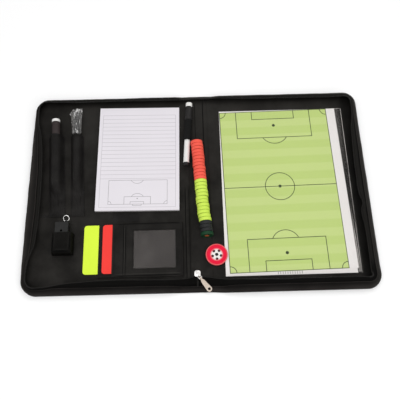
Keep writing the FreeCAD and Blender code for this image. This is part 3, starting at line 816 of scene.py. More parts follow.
# Free edge of the zip tape along each half: place on the rim, inset from the outline, height.
# Places: 0-1 near edge from the spine out, 1-2 corner, 2-3 side, 3-4 corner, 4-5 far edge back to the spine.
EDGE = {
    -1: [(0.035, 29.5, 3.9), (0.042, 28.0, 3.9), (0.056, 26.0, 4.0), (0.085, 24.0, 4.3), (0.12, 22.6, 5.6),
         (0.18, 20.6, 11.8), (0.29, 20.6, 13.6), (0.46, 21.6, 13.2), (0.64, 21.0, 13.4), (0.76, 19.0, 14.4),
         (0.86, 16.0, 15.4), (0.95, 12.5, 16.1), (1.5, 10.8, 16.3), (2.05, 10.5, 16.3), (2.1, 12.1, 16.2),
         (2.18, 19.0, 15.5), (2.3, 22.0, 14.6), (2.42, 22.7, 14.2), (2.63, 21.9, 14.6), (2.75, 19.1, 15.4),
         (2.83, 15.9, 16.0), (2.91, 10.5, 16.3), (3.5, 10.2, 16.3), (4.1, 13.4, 15.5), (4.3, 13.8, 15.4),
         (4.5, 13.6, 15.4), (4.7, 13.8, 15.2), (4.82, 13.4, 14.4), (4.87, 12.8, 12.6), (4.91, 11.8, 9.2),
         (4.945, 10.0, 6.8), (5.0, 8.4, 6.4)],
    1: [(-0.025, 29.5, 3.9), (-0.018, 28.0, 3.9), (0.0, 26.0, 3.9), (0.06, 24.0, 4.3), (0.1, 22.4, 6.0),
        (0.16, 20.6, 11.6), (0.25, 19.5, 13.8), (0.44, 18.0, 14.6), (0.7, 18.8, 14.4), (0.94, 18.2, 14.6),
        (1.5, 16.8, 15.6), (2.0, 20.5, 15.0), (2.1, 20.0, 15.2), (2.25, 20.5, 15.0), (2.33, 22.1, 14.4),
        (2.37, 18.8, 15.8), (2.42, 21.9, 14.6), (2.55, 22.3, 14.4), (2.65, 21.8, 14.6), (2.74, 20.5, 15.0),
        (2.83, 19.0, 15.5), (2.92, 14.5, 16.2), (3.5, 14.2, 16.0), (4.05, 15.2, 15.0), (4.2, 15.4, 14.8),
        (4.45, 15.2, 14.8), (4.7, 14.0, 15.0), (4.82, 12.4, 14.4), (4.87, 11.4, 12.6), (4.91, 10.4, 9.2),
        (4.945, 9.2, 6.8), (5.0, 8.4, 6.4)],
}
STARTS = (0.0, RUN_X, RUN_X + ARC, RUN_X + ARC + RUN_Y, RUN_X + 2 * ARC + RUN_Y)
LENGTHS = (RUN_X, ARC, RUN_Y, ARC, RUN_X)
RIM_END = 2 * (RUN_X + ARC) + RUN_Y
RIM_START = {-1: 8.0, 1: -8.0}
SLIDER_ROOM = 1.4
# inset and height of the seam where the wall lies flat beside the slider
FLAT_INSET = 9.5
FLAT_SEAM = 3.1
# the wall starts to stand up where the tape's free edge is this high, and stands fully after this rise
LIFT_FROM = 5.4
LIFT_OVER = 8.5
RIM_STEPS = 330
# least width of tape between the seam and its free edge, and how far behind that edge the cloth ends
TAPE_SHOWN = 4.2
TAPE_BACK = 1.9
TOOTH_PITCH = 1.55
TOOTH_SIZE = (1.15, 2.3, 1.5)
STITCH_PITCH = 3.6


def rim_length(place):
    k = clamp(math.floor(place), 0, 4)
    return STARTS[k] + (place - k) * LENGTHS[k]


# Seam between wall and tape: place on the rim, inset from the outline, outward swell of the wall.
SEAM = {
    -1: [(0.0, 9.5, -0.3), (0.9, 9.5, -0.3), (1.5, 8.4, 0.4), (2.1, 10.5, 1.9), (2.3, 13.6, 2.3),
         (2.6, 13.6, 1.9), (2.85, 9.0, 1.0), (3.5, 6.4, -0.8), (4.1, 5.6, -2.5), (5.0, 5.6, -2.5)],
    1: [(0.0, 9.5, 0.6), (0.9, 9.5, 0.9), (1.5, 9.0, -0.8), (2.1, 10.6, -2.4), (2.5, 10.4, -2.2),
        (2.85, 9.6, -2.0), (3.5, 7.6, -1.8), (4.1, 6.8, -2.2), (5.0, 6.4, -2.2)],
}


def placed(table):
    return {side: [(rim_length(row[0]), *row[1:]) for row in rows] for side, rows in table.items()}


KEYS = placed(EDGE)
SEAM_KEYS = placed(SEAM)


def keyed(keys, s, column):
    """Smooth curve through the keys, each starting with its length along the rim."""
    if s <= keys[0][0]:
        return keys[0][column]
    if s >= keys[-1][0]:
        return keys[-1][column]
    i = max(k for k in range(len(keys) - 1) if keys[k][0] <= s)
    a, b = keys[i], keys[i + 1]
    span = b[0] - a[0]
    before = keys[i - 1] if i else a
    after = keys[i + 2] if i + 2 < len(keys) else b
    slope_a = (b[column] - before[column]) / max(1e-6, b[0] - before[0])
    slope_b = (after[column] - a[column]) / max(1e-6, after[0] - a[0])
    t = (s - a[0]) / span
    return ((2 * t**3 - 3 * t**2 + 1) * a[column] + (t**3 - 2 * t**2 + t) * span * slope_a
            + (3 * t**2 - 2 * t**3) * b[column] + (t**3 - t**2) * span * slope_b)


def settle(side, x, y):
    """The soft case lies a little off square: its outer side is drawn in and its near edge slants."""
    near, far = ease(-y, 60.0, HALF_Y), ease(y, 60.0, HALF_Y) * ease(x, 12.0, 45.0)
    if side < 0:
        return -x, y + 1.6 * near * x / HALF_X - 1.3 * far
    y -= near * (1.3 * ease(x, 8.0, 40.0) + 1.0 * x / HALF_X) + 0.9 * far
    return x - ease(x, 120.0, HALF_X) * (1.2 - 0.4 * y / HALF_Y), y


def rim(side, s, inset, z):
    """Point at length s along the rim, drawn in by inset."""
    r = CORNER - inset
    if s <= STARTS[1]:
        x, y = s, inset - HALF_Y
    elif s <= STARTS[2]:
        a = (s - STARTS[1]) / CORNER
        x, y = RUN_X + r * math.sin(a), -RUN_Y / 2 - r * math.cos(a)
    elif s <= STARTS[3]:
        x, y = HALF_X - inset, -RUN_Y / 2 + s - STARTS[2]
    elif s <= STARTS[4]:
        a = (s - STARTS[3]) / CORNER
        x, y = RUN_X + r * math.cos(a), RUN_Y / 2 + r * math.sin(a)
    else:
        x, y = RUN_X - (s - STARTS[4]), HALF_Y - inset
    return Vector((*settle(side, x, y), z))


def lifted(top):
    """How far the wall stands up, from 0 to 1, for the height of the tape's free edge."""
    return clamp((top - LIFT_FROM) / LIFT_OVER)


def wall_line(side, s):
    """Seam between gusset and tape, and the tape's free edge, as (inset, height) pairs."""
    edge = keyed(KEYS[side], s, 1)
    top = keyed(KEYS[side], s, 2)
    lift = lifted(top)
    edge += 0.7 * noise.noise((s * 0.035, side * 7.0, 1.0)) * lift
    top += 0.35 * noise.noise((s * 0.05, side * 3.0, 5.0)) * lift
    inset = keyed(SEAM_KEYS[side], s, 1) + 0.5 * noise.noise((s * 0.03, side * 5.0, 9.0))
    inset = min(inset, edge - TAPE_SHOWN)
    # where the wall stands fully, its seam lies higher the further in it is, but under the tape's free edge
    full = min(10.3 + 0.42 * (inset - 3.7), top - 0.7)
    return (FLAT_INSET + (inset - FLAT_INSET) * lift, FLAT_SEAM + (full - FLAT_SEAM) * lift), (edge, top)


def along_rim(side, u, room=0.0):
    """Rim length for u from 0 to 1, closer together by the spine; room is left clear beside the slider."""
    start = RIM_START[side] + room
    span = RIM_END - start
    knots = ((0.0, 0.0), (0.08, 14.0), (0.16, 45.0), (0.9, span - 45.0), (1.0, span))
    for (ua, sa), (ub, sb) in zip(knots, knots[1:]):
        if u <= ub:
            return start + sa + (u - ua) / (ub - ua) * (sb - sa)
    return RIM_END


def gusset_point(side, s, v):
    """Wall rolling up and over from the cover's edge to the seam."""
    (sd, sz), (_, top) = wall_line(side, s)
    lift = lifted(top)
    swell = keyed(SEAM_KEYS[side], s, 2) + 0.5 * noise.noise((s * 0.05, 1.5, side * 2.0))
    # corners of the curve: at the binding, out and up, over the top, at the seam
    bends = ((0.7, 1.0), (0.7 - (1.9 + 1.3 * swell) * lift, 2.4 + 5.6 * lift),
             (5.0 - (3.0 + 0.6 * swell) * lift, 3.0 + 8.4 * lift), (sd, sz))
    shares = ((1 - v) ** 3, 3 * v * (1 - v) ** 2, 3 * v * v * (1 - v), v**3)
    inset, z = (sum(k * bend[axis] for k, bend in zip(shares, bends)) for axis in (0, 1))
    dimple = 0.22 * noise.noise((s * 0.08, v * 2.0, side * 6.0)) * math.sin(math.pi * v) * lift
    return rim(side, s, inset - dimple, z + dimple)


def tape_point(side, s, v):
    """Tape bowed from the seam to just behind the coil on its free edge."""
    (sd, sz), (ed, ez) = wall_line(side, s)
    ed -= TAPE_BACK
    start = (sd + 0.4, sz - 0.15 - 0.75 * lifted(ez))
    chord = math.hypot(ed - start[0], ez - start[1])
    bow = math.sin(math.pi * v) * 0.06 * chord
    nx, nz = -(ez - start[1]) / chord, (ed - start[0]) / chord
    crumple = 0.3 * noise.noise((s * 0.09, v * 2.0, side * 11.0)) * math.sin(math.pi * v)
    return rim(side, s, start[0] + (ed - start[0]) * v + nx * (bow + crumple),
               start[1] + (ez - start[1]) * v + nz * (bow * 0.6 + crumple))


def up_or_in(point):
    return UP - 0.2 * outward(point).normalized()


def coil_line(side, s):
    """Coil on the tape's free edge at length s along the rim: its place, and the way it runs."""
    _, (edge, top) = wall_line(side, s)
    after, before = (rim(side, t, wall_line(side, t)[1][0], 0) for t in (s + 0.4, s - 0.4))
    return rim(side, s, edge - 1.05, top + 0.1), after - before


def roll(side, u, v, radius, centre):
    """Round strip along the rim; centre(s) gives its inset and height."""
    s = along_rim(side, u)
    d, z = centre(s)
    a = 2 * math.pi * v
    return rim(side, s, d + radius * math.cos(a), z + radius * math.sin(a))


def under_tape(side, s):
    (inset, z), _ = wall_line(side, s)
    return inset - 0.1, z - 0.35


for side, zip_end in ((-1, "near_zip_end"), (1, "far_zip_end")):
    name, bend = SIDE[side], BEND[side]
    bm = grid(RIM_STEPS, 14, lambda u, v: gusset_point(side, along_rim(side, u), v))
    wall = dress(name + "_soft_wall", bm, "wall", bend, "gusset", [name + "_gusset"], facing=outward, wall=1.0)
    bm = grid(RIM_STEPS, 10, lambda u, v: tape_point(side, along_rim(side, u, SLIDER_ROOM), v))
    tape = dress(name + "_tape", bm, "tape", bend, "zip_tape", [name + "_zip_tape", zip_end], facing=up_or_in,
                 wall=0.6)

    teeth = []
    first = RIM_START[side] + SLIDER_ROOM
    span = RIM_END - first
    count = int(span / TOOTH_PITCH)
    for i in range(count):
        bead(teeth, *coil_line(side, first + (i + 0.5) * span / count), UP, *TOOTH_SIZE)
    dress(name + "_coil", beads(teeth), "coil", bend, "zip_coil", [name + "_zip_coil"], sharp=80)

    # rolled binding where cover and wall meet, welt under the tape, and the rows of stitches that hold them
    bm = grid(RIM_STEPS, 8, lambda u, v: roll(side, u, v, 0.95, lambda s: (1.0, 1.0)))
    binding = dress(name + "_binding", bm, "skin", bend, "cover_skin", close=0.002)
    bm = grid(RIM_STEPS, 8, lambda u, v: roll(side, u, v, 0.7, lambda s: under_tape(side, s)))
    welt = dress(name + "_welt", bm, "wall", bend, "gusset", close=0.002)
    sewing = []
    for v, start in ((0.16, 12.0), (0.86, 14.0)):
        path = lambda t: tape_point(side, first + start + t * (span - start - 6.0), v) + 0.2 * UP
        stitches(sewing, path, int(span / STITCH_PITCH))
    sew(name + "_tape_stitching", sewing, bend, "zip_tape")


# ---------------------------------------------------------------- covers and linings

def half_plan(side, u, v, inset):
    """Spot on one half with rounded outer corners; u runs out from the spine with closer steps by the fold."""
    fold, share = 32.0, 0.34
    far = HALF_X - inset
    x = u / share * fold if u < share else fold + (u - share) / (1 - share) * (far - fold)
    y = (2 * v - 1) * (HALF_Y - inset)
    dx, dy = x - RUN_X, abs(y) - RUN_Y / 2
    if dx > 0 and dy > 0:
        k = max(dx, dy) / math.hypot(dx, dy)
        x, y = RUN_X + dx * k, math.copysign(RUN_Y / 2 + dy * k, y)
    return settle(side, x, y)


def lining_height(x, y):
    """Top of the lining: flat over the boards, with a lower padded strip and soft grooves along the spine.

    It dips at the near edge beside the slider, where the wall lies flat.
    """
    spine_z = 1.75
    far = abs(x)
    step = ease(far, 13.6, 19.0)
    z = spine_z + (FLOOR_Z - spine_z) * step
    z -= 0.3 * ridge(far - 16.2, 1.3)
    if x < 0:
        z -= 0.35 * ridge(far - 24.0, 0.8) * ease(-y, -40.0, 30.0)
    else:
        z -= 0.25 * ridge(far - 24.0, 0.9) * ease(y, 20.0, 90.0)
    z -= 0.4 * (ridge(x + 4.6, 1.0) + ridge(x - 9.6, 1.0)) * ease(y, 40.0, 60.0)
    z -= 0.14 * (0.5 + 0.5 * noise.noise((x * 0.03, y * 0.025, 2.0))) * step
    z -= 0.78 * step * ease(-y, 164.5, 171.0) * ease(-far, -52.0, -36.0)
    return z


def lining_point(side, u, v):
    x, y = half_plan(side, u, v, 2.6)
    return Vector((x, y, lining_height(x, y)))


for side in (-1, 1):
    name, bend = SIDE[side], BEND[side]
    bm = grid(90, 96, lambda u, v: Vector((*half_plan(side, u, v, 1.4), 0.0)))
    skin = dress(name + "_cover_skin", bm, "skin", bend, "cover_skin",
                 [name + "_cover", "spine_cover"] if side < 0 else [name + "_cover"], facing=lambda p: -UP, wall=0.85)
    bm = grid(150, 110, lambda u, v: lining_point(side, u, v))
    lining = dress(name + "_lining_cloth", bm, "lining", bend, "lining",
                   [name + "_lining", "spine_lining"] if side > 0 else [name + "_lining"], facing=upward, wall=0.55)


# ---------------------------------------------------------------- pen sleeves

SLEEVE_MOUTH = 100.0
SLEEVE_FOOT = -43.5
# half of the full section, from the sewn edge up to the crown: share of the half width, share of the height
SECTION = ((1.0, 0.03), (0.95, 0.05), (0.90, 0.09), (0.84, 0.17), (0.78, 0.29), (0.71, 0.45), (0.63, 0.62),
           (0.53, 0.78), (0.40, 0.90), (0.2, 0.98), (0.0, 1.0))


def section(b):
    """Point on the full section for b from -1 to 1, the crown at 0."""
    t = (1 - abs(b)) * (len(SECTION) - 1)
    i = min(int(t), len(SECTION) - 2)
    f = t - i
    x = SECTION[i][0] * (1 - f) + SECTION[i + 1][0] * f
    z = SECTION[i][1] * (1 - f) + SECTION[i + 1][1] * f
    return math.copysign(x, b), z


def sleeve_point(mouth_x, foot_x, half_w, tall, full_y, seed, a, b, rise=0.0):
    """Spot on a sleeve, a from mouth to foot and b across it: full round the pen, slack and creased below its end."""
    y = SLEEVE_MOUTH + (SLEEVE_FOOT - SLEEVE_MOUTH) * a
    mid = mouth_x + (foot_x - mouth_x) * a
    full = ease(y, full_y - 34.0, full_y + 2.0)
    sx, sz = section(b)
    x = (sx * full + b * (1 - full)) * half_w * (1 - 0.04 * a)
    slack = 0.72 + 0.54 * (1 - b * b)
    z = sz * tall * full + (1 - full) * slack + 0.35
    # loose cloth below the pen's end: long folds, cross creases where it is full, and one ridge left of the middle
    loose = ease(y, SLEEVE_FOOT, -30.0) * (1 - ease(y, full_y + 6.0, full_y + 26.0))
    inner = 1 - abs(b) ** 6
    folds = noise.noise((x * 0.30 + y * 0.03, y * 0.05 - x * 0.06, seed))
    creases = abs(noise.noise((x * 0.16 - y * 0.04, y * 0.11 + x * 0.05, seed + 4.0)))
    z += loose * inner * (1.5 * folds * (0.35 + 0.65 * (1 - full)) + 1.3 * creases * full)
    z += inner * 0.22 * noise.noise((x * 0.12, y * 0.06, seed + 9.0))
    z += 2.3 * ridge(b + 0.62, 0.17) * (1 - full) * ease(y, SLEEVE_FOOT + 2.0, SLEEVE_FOOT + 18.0)
    # fine lengthwise lines where the cloth is tight round the pen
    if full > 0.9 and y > full_y + 6.0:
        z += inner * 0.18 * noise.noise((x * 0.5, y * 0.02, seed + 2.0))
    return Vector((mid + x, y, FLOOR_Z + max(0.4, z) + rise))


# each sleeve: cut size, x of its middle at mouth and foot, half width, height, where it gets full, seed of its folds
SLEEVES = (("first", (0.046, 0.1435), -244.8, -235.3, 13.6, 16.6, 14.0, 3.0),
           ("second", (0.040, 0.1435), -209.4, -202.0, 11.4, 15.2, 20.0, 17.0))


def foot_point(u, v):
    """Bound strip sewn over the closed foot of both sleeves."""
    x = -264.0 + 73.0 * u
    y = -46.0 + 4.4 * v
    over = max(ease(half_w - abs(x - foot_x), -2.5, 1.5) for _, _, _, foot_x, half_w, *_ in SLEEVES)
    round_edge = math.sin(math.pi * clamp(v)) ** 0.5
    return Vector((x, y, FLOOR_Z + 0.12 + 0.35 * round_edge + 1.45 * over * (0.35 + 0.65 * ease(v, 0.0, 0.5))))


strip = dress("sleeve_foot_binding", grid(90, 8, foot_point), "pocket", "left_half", "pocket_skin", facing=upward,
              wall=0.4)
sewing = []
for label, cloth_size, *shape in SLEEVES:
    bm = grid(120, 60, lambda u, v: sleeve_point(*shape, u, 2 * v - 1))
    sleeve = dress(label + "_pen_sleeve", bm, "pocket", "left_half", "pocket_skin", ["pen_sleeves"], facing=upward,
                   wall=0.7)
    bm = grid(6, 60, lambda u, v: sleeve_point(*shape, -0.004 + 0.034 * u, 2 * v - 1,
                                               0.15 + 0.4 * math.sin(math.pi * u)))
    hem = dress(label + "_sleeve_hem", bm, "pocket", "left_half", "pocket_skin", facing=upward, wall=0.7)
    for b in (-0.93, 0.93):
        stitches(sewing, lambda t: sleeve_point(*shape, t, b, 0.1), 38)
    stitches(sewing, lambda t: sleeve_point(*shape, 0.022, 1.7 * t - 0.85, 0.55), 16, 2.2)
stitches(sewing, lambda t: foot_point(0.02 + 0.96 * t, 0.5) + 0.1 * UP, 20)
sew("sleeve_stitching", sewing, "left_half", "pocket_skin")


# ---------------------------------------------------------------- whistle pouch

POUCH_X = -222.0
POUCH_HALF = 16.6
POUCH_FAR = -77.2
POUCH_DEEP = 34.4
POUCH_TALL = 17.9


def pouch_point(u, v, rise=0.0):
    """Loaf shape: open at the far end, closed and rounded at the near end."""
    across = math.pi * v
    x = math.copysign(abs(math.cos(across)) ** 0.36, math.cos(across))
    z = abs(math.sin(across)) ** 0.36
    turn = math.pi / 2 * u
    back = math.sin(turn) ** 0.33
    tall = math.cos(turn) ** 0.33 if u < 1 else 0.0
    y = POUCH_FAR - POUCH_DEEP * back
    dent = 0.5 * noise.noise((x * 2.2, back * 2.5, 31.0)) * (0.3 + tall * z)
    sag = 0.9 * ridge(y + 94.0, 9.0) * (1 - x * x) * tall
    high = POUCH_TALL * z * tall - sag + dent * 0.8 + rise
    return Vector((POUCH_X + x * (POUCH_HALF + dent), y, FLOOR_Z + max(0.15, high)))


def from_whistle(point):
    return point - Vector((POUCH_X, -92.0, 6.0))


def pouch_hem_point(u, v):
    return pouch_point(0.12 * u + 0.0001, v, 0.35 * math.sin(math.pi * u) * math.sin(math.pi * v))


pouch = dress("pouch_shell", grid(48, 64, pouch_point), "pouch", "left_half", "pocket_skin", ["whistle_pouch"],
              facing=from_whistle, wall=0.8)
band = dress("pouch_hem", grid(8, 64, pouch_hem_point), "pouch", "left_half", "pocket_skin", facing=from_whistle,
             wall=0.5)
sewing = []
stitches(sewing, lambda t: pouch_point(0.13, 0.06 + 0.88 * t, 0.2), 22, 2.2)
stitches(sewing, line((POUCH_X - 18.3, -113.6, 3.2), (POUCH_X + 18.3, -113.6, 3.2)), 10)
sew("pouch_stitching", sewing, "left_half", "pocket_skin")


# ---------------------------------------------------------------- card pocket

POCKET_X1 = -29.5
POCKET_Y0 = -150.5
POCKET_Y1 = -61.0


def leaf_height(x, y, x0, foot, top, tuck, proud):
    """Top of a pocket leaf: sewn down along three sides, open with a folded hem along its left edge."""
    edge = min(POCKET_X1 - tuck - x, y - POCKET_Y0 - tuck, POCKET_Y1 - tuck - y)
    z = foot + (top - foot) * (1 - (1 - clamp(edge)) ** 2.4)
    z += 0.22 * proud * ease(x, x0 + 6.2, x0 + 5.0) * ease(edge, 0.0, 4.0)
    z += 0.3 * proud * ridge(x - x0 - 0.8, 0.8) * ease(edge, 0.0, 2.0)
    z += (0.3 * ridge(y + 145.4, 0.8) - 0.2 * ridge(y + 148.0, 1.0)) * ease(edge, 0.0, 2.0)
    z -= 0.12 * (0.5 + 0.5 * noise.noise((x * 0.07, y * 0.05, top))) * ease(edge, 2.0, 9.0)
    return z


# each leaf: cut size, open edge, height of its foot and top, tuck under the next leaf, how proud its hem stands
LEAVES = (("low", (0.135, 0.0885), -165.5, 3.12, 4.36, 0.4, 0.3),
          ("mid", (0.114, 0.089), -143.6, 3.7, 5.95, 0.2, 1.0),
          ("top", (0.095, 0.0895), -124.5, 4.6, 6.75, 0.0, 1.0))
WINDOW = (-108.6, -41.9, -136.4, -74.5)
WINDOW_SEAM = ((-111.0, -139.0), (-39.5, -139.0), (-39.5, -72.0), (-111.0, -72.0))


def cut_window(bm):
    """Takes the window out of the top leaf."""
    for axis, cuts in (((1, 0, 0), WINDOW[:2]), ((0, 1, 0), WINDOW[2:])):
        for cut in cuts:
            bmesh.ops.bisect_plane(bm, geom=bm.verts[:] + bm.edges[:] + bm.faces[:], dist=0.01,
                                   plane_co=Vector(axis) * cut, plane_no=axis)
    gone = [f for f in bm.faces if WINDOW[0] < f.calc_center_median().x < WINDOW[1]
            and WINDOW[2] < f.calc_center_median().y < WINDOW[3]]
    bmesh.ops.delete(bm, geom=gone, context="FACES")


def edged(t, ends):
    """Spreads 0 to 1 with closer steps over the last bit at the ends named: 0, 1 or both."""
    rim_steps, rim_share = 0.09, 0.018
    if 0 in ends and t < rim_steps:
        return t / rim_steps * rim_share
    if 1 in ends and t > 1 - rim_steps:
        return 1 - (1 - t) / rim_steps * rim_share
    low, low_to = (rim_steps, rim_share) if 0 in ends else (0.0, 0.0)
    high, high_to = (1 - rim_steps, 1 - rim_share) if 1 in ends else (1.0, 1.0)
    return low_to + (t - low) / (high - low) * (high_to - low_to)


sewing = []
for label, cloth_size, x0, foot, top, tuck, proud in LEAVES:
    def on_leaf(x, y, rise=0.0):
        return Vector((x, y, leaf_height(x, y, x0, foot, top, tuck, proud) + rise))

    def leaf_point(u, v):
        return on_leaf(x0 + (POCKET_X1 - tuck - x0) * edged(u, (1,)),
                       POCKET_Y0 + tuck + (POCKET_Y1 - POCKET_Y0 - 2 * tuck) * edged(v, (0, 1)))

    bm = grid(130, 130, leaf_point)
    if label == "top":
        cut_window(bm)
    leaf = dress("pocket_leaf_cloth_" + label, bm, "leaf", "left_half", "pocket_skin", ["pocket_leaf_" + label],
                 facing=upward, wall=0.4)

    seams = [((x0 + 4.2, POCKET_Y0 + 4), (x0 + 4.2, POCKET_Y0 + 85.5), 22)]
    if label == "top":
        seams += [((POCKET_X1 - 3, POCKET_Y0 + 3), (POCKET_X1 - 3, POCKET_Y0 + 86.5), 23),
                  ((x0 + 8, POCKET_Y1 - 3), (x0 + 92, POCKET_Y1 - 3), 23),
                  ((x0 + 8, POCKET_Y0 + 3), (x0 + 92, POCKET_Y0 + 3), 23)]
        seams += [(WINDOW_SEAM[a], WINDOW_SEAM[b], n) for a, b, n in ((0, 1, 19), (3, 2, 19), (0, 3, 18), (1, 2, 18))]
    for a, b, n in seams:
        stitches(sewing, lambda t: on_leaf(*Vector(a).lerp(Vector(b), t), 0.1 * (1.5 * proud - 0.5)), n)
sew("pocket_stitching", sewing, "left_half", "pocket_skin")

TAB_X0, TAB_Y0 = -144.0, -57.0
TAB_W, TAB_H = 43.0, 13.8


def tab_point(u, v):
    x = TAB_X0 + TAB_W * u
    y = TAB_Y0 + TAB_H * v
    edge = min(min(u, 1 - u) * TAB_W, min(v, 1 - v) * TAB_H)
    z = 0.75 * ease(edge, -0.6, 1.6) - 0.1 * noise.noise((x * 0.1, y * 0.2, 8.0))
    return Vector((x, y, FLOOR_Z + 0.1 + z))


tab = dress("pad_tab_cloth", grid(40, 16, tab_point), "pocket", "left_half", "pocket_skin", ["pad_tab"],
            facing=upward, wall=0.5)


# ---------------------------------------------------------------- elastic loop and clear bag

LOOP_Z = 10.1
LOOP_TAIL = Vector((-21.9, 37.5, LOOP_Z))
LOOP_WAY = (Vector((-14.0, 157.5, LOOP_Z)) - LOOP_TAIL).normalized()
LOOP_SIDE = LOOP_WAY.cross(UP)
# along the marker: start and length of the band; share of its girth that lies on the lining at each end
LOOP_FROM = 47.2
LOOP_LONG = 39.6
LOOP_END = 0.12


def loop_point(u, v):
    """Elastic band round the marker, its two ends brought together on the lining."""
    at = LOOP_TAIL + LOOP_WAY * (LOOP_FROM + LOOP_LONG * u)
    if min(v, 1 - v) < LOOP_END:
        t = min(v, 1 - v) / LOOP_END
        x = (4.5 - 1.4 * t) * (-1 if v < 0.5 else 1)
        z = 3.5 - LOOP_Z + 0.75 * t * t
    else:
        a = math.radians(-120 - 300 * (v - LOOP_END) / (1 - 2 * LOOP_END))
        r = 6.65 + 0.036 * math.cos(2 * math.pi * u * 9)
        x, z = r * math.cos(a), r * math.sin(a)
    return at + LOOP_SIDE * x + UP * z


loop = dress("elastic_loop", grid(44, 40, loop_point), "elastic", "pen_loop", "elastic", ["pen_loop"],
             facing=lambda p: p - (LOOP_TAIL + LOOP_WAY * 68), wall=0.4)


def seat(sleeve, z):
    """Where the end of the pen in a sleeve rests, and the way the pen points; z is the height of its axis."""
    _, _, mouth_x, foot_x, _, _, full_y, _ = sleeve
    foot, mouth = Vector((foot_x, SLEEVE_FOOT, z)), Vector((mouth_x, SLEEVE_MOUTH, z))
    return foot.lerp(mouth, (full_y - SLEEVE_FOOT) / (SLEEVE_MOUTH - SLEEVE_FOOT)), (mouth - foot).normalized()


# rows up the bag: length along the pen, reach to the left and to the right, half of the thickness
BAG_ROWS = ((81.4, 6.4, 6.4, 5.2), (85.0, 7.6, 7.8, 5.9), (100.0, 8.6, 8.4, 6.0), (113.0, 9.4, 8.8, 5.6),
            (120.0, 10.6, 9.4, 4.8), (123.5, 12.8, 10.0, 3.7), (126.5, 10.4, 10.2, 2.8), (129.5, 8.4, 9.8, 1.8),
            (132.5, 7.0, 9.2, 0.4))
PEN_SEAT, PEN_WAY = seat(SLEEVES[1], 10.6)
PEN_SIDE = PEN_WAY.cross(UP)


def bag_point(u, v):
    """Bag drawn round the pen and pinched flat past its end, crumpled all over."""
    t = BAG_ROWS[0][0] + (BAG_ROWS[-1][0] - BAG_ROWS[0][0]) * u
    i = max(k for k in range(len(BAG_ROWS) - 1) if BAG_ROWS[k][0] <= t + 1e-6)
    a, b = BAG_ROWS[i], BAG_ROWS[i + 1]
    f = (t - a[0]) / (b[0] - a[0])
    left, right, thick = (a[k] + (b[k] - a[k]) * smooth(f) for k in (1, 2, 3))
    angle = 2 * math.pi * v
    x = (right if math.cos(angle) > 0 else left) * math.cos(angle)
    z = thick * math.sin(angle) * (0.8 + 0.2 * abs(math.sin(angle)))
    crumple = noise.noise((x * 0.28 + t * 0.1, t * 0.16 - z * 0.2, z * 0.2))
    crumple += 0.5 * noise.noise((x * 0.6, t * 0.4, z * 0.5))
    z += 1.1 * crumple * abs(math.sin(angle)) * min(1.0, thick / 3.0)
    t += 2.6 * noise.noise((x * 0.22, 0.7, 3.0)) * ease(t, 122.0, 132.0)
    return PEN_SEAT + PEN_WAY * t + PEN_SIDE * x + UP * z


dress("crumpled_bag", grid(60, 56, bag_point), "bag", "wrapped_pen", "clear_wrap", ["clear_wrap"], close=0.002,
      sharp=35)


# ---------------------------------------------------------------- disc magnets

DISC_R = 10.2
DISC_T = 5.75
STACK_SIDE = STACK_WAY.cross(UP)


def disc_magnet(number, aside):
    """One disc with rounded rims and a shallow dish on both faces; each lies a hair out of line."""
    def stray(k):
        return noise.noise((number * 3.7 + 0.3, k * 5.3, 0.4))
    bm = bmesh.new()
    bmesh.ops.create_cone(bm, cap_ends=True, segments=44, radius1=DISC_R, radius2=DISC_R, depth=DISC_T)
    round_off(bm, level_edges(bm), 0.75, 3)
    caps = [f for f in bm.faces if len(f.verts) > 8]
    bmesh.ops.inset_individual(bm, faces=caps, thickness=1.5, depth=0.0)
    bmesh.ops.inset_individual(bm, faces=caps, thickness=0.4, depth=-0.4)
    at = STACK_START + STACK_WAY * ((number + 0.5) * DISC_PITCH) + Vector((aside, 0, 0))
    at += STACK_SIDE * (1.5 * stray(1)) + UP * (0.25 * stray(2))
    way = Matrix.Rotation(math.radians(2.2 * stray(3)), 3, UP) @ STACK_WAY
    turn = way.to_track_quat("Z", "Y").to_matrix().to_4x4()
    bmesh.ops.transform(bm, matrix=Matrix.Translation(at) @ turn, verts=bm.verts)
    return bm


# each colour: its piece, node, finish and slot, number of its first disc, count, how far the row lies aside
DISCS = (("orange_discs", "orange_magnets", "orange", "orange_magnet", 0, 12, 0.0),
         ("yellow_discs", "yellow_magnets", "lime", "yellow_magnet", 12, 12, 0.0),
         ("black_discs", "black_magnets", "black disc", "black_plastic", 24, 3, 1.2),
         ("green_discs", "green_magnet", "green", "green_magnet", 27, 1, 1.8))
for label, node, finish, slot, first, count, aside in DISCS:
    row = bmesh.new()
    for number in range(first, first + count):
        join(row, disc_magnet(number, aside))
    dress(label, row, finish, "magnet_stack", slot, [node], sharp=60)


# ---------------------------------------------------------------- turned marker ends

def lathe(profile, start, way, steps=40):
    """Turned shape; profile holds (length along way, radius) from one end to the other."""
    bm = bmesh.new()
    rows = [bm.verts.new((r, 0.0, t)) for t, r in profile]
    cut = [bm.edges.new(pair) for pair in zip(rows, rows[1:])]
    bmesh.ops.spin(bm, geom=rows + cut, cent=(0, 0, 0), axis=(0, 0, 1), dvec=(0, 0, 0), angle=2 * math.pi,
                   steps=steps, use_merge=True, use_duplicate=False)
    bmesh.ops.remove_doubles(bm, verts=bm.verts, dist=0.002)
    turn = way.to_track_quat("Z", "Y").to_matrix().to_4x4()
    bmesh.ops.transform(bm, matrix=Matrix.Translation(start) @ turn, verts=bm.verts)
    return bm


MARKER_SEAT, MARKER_WAY = seat(SLEEVES[0], 11.2)
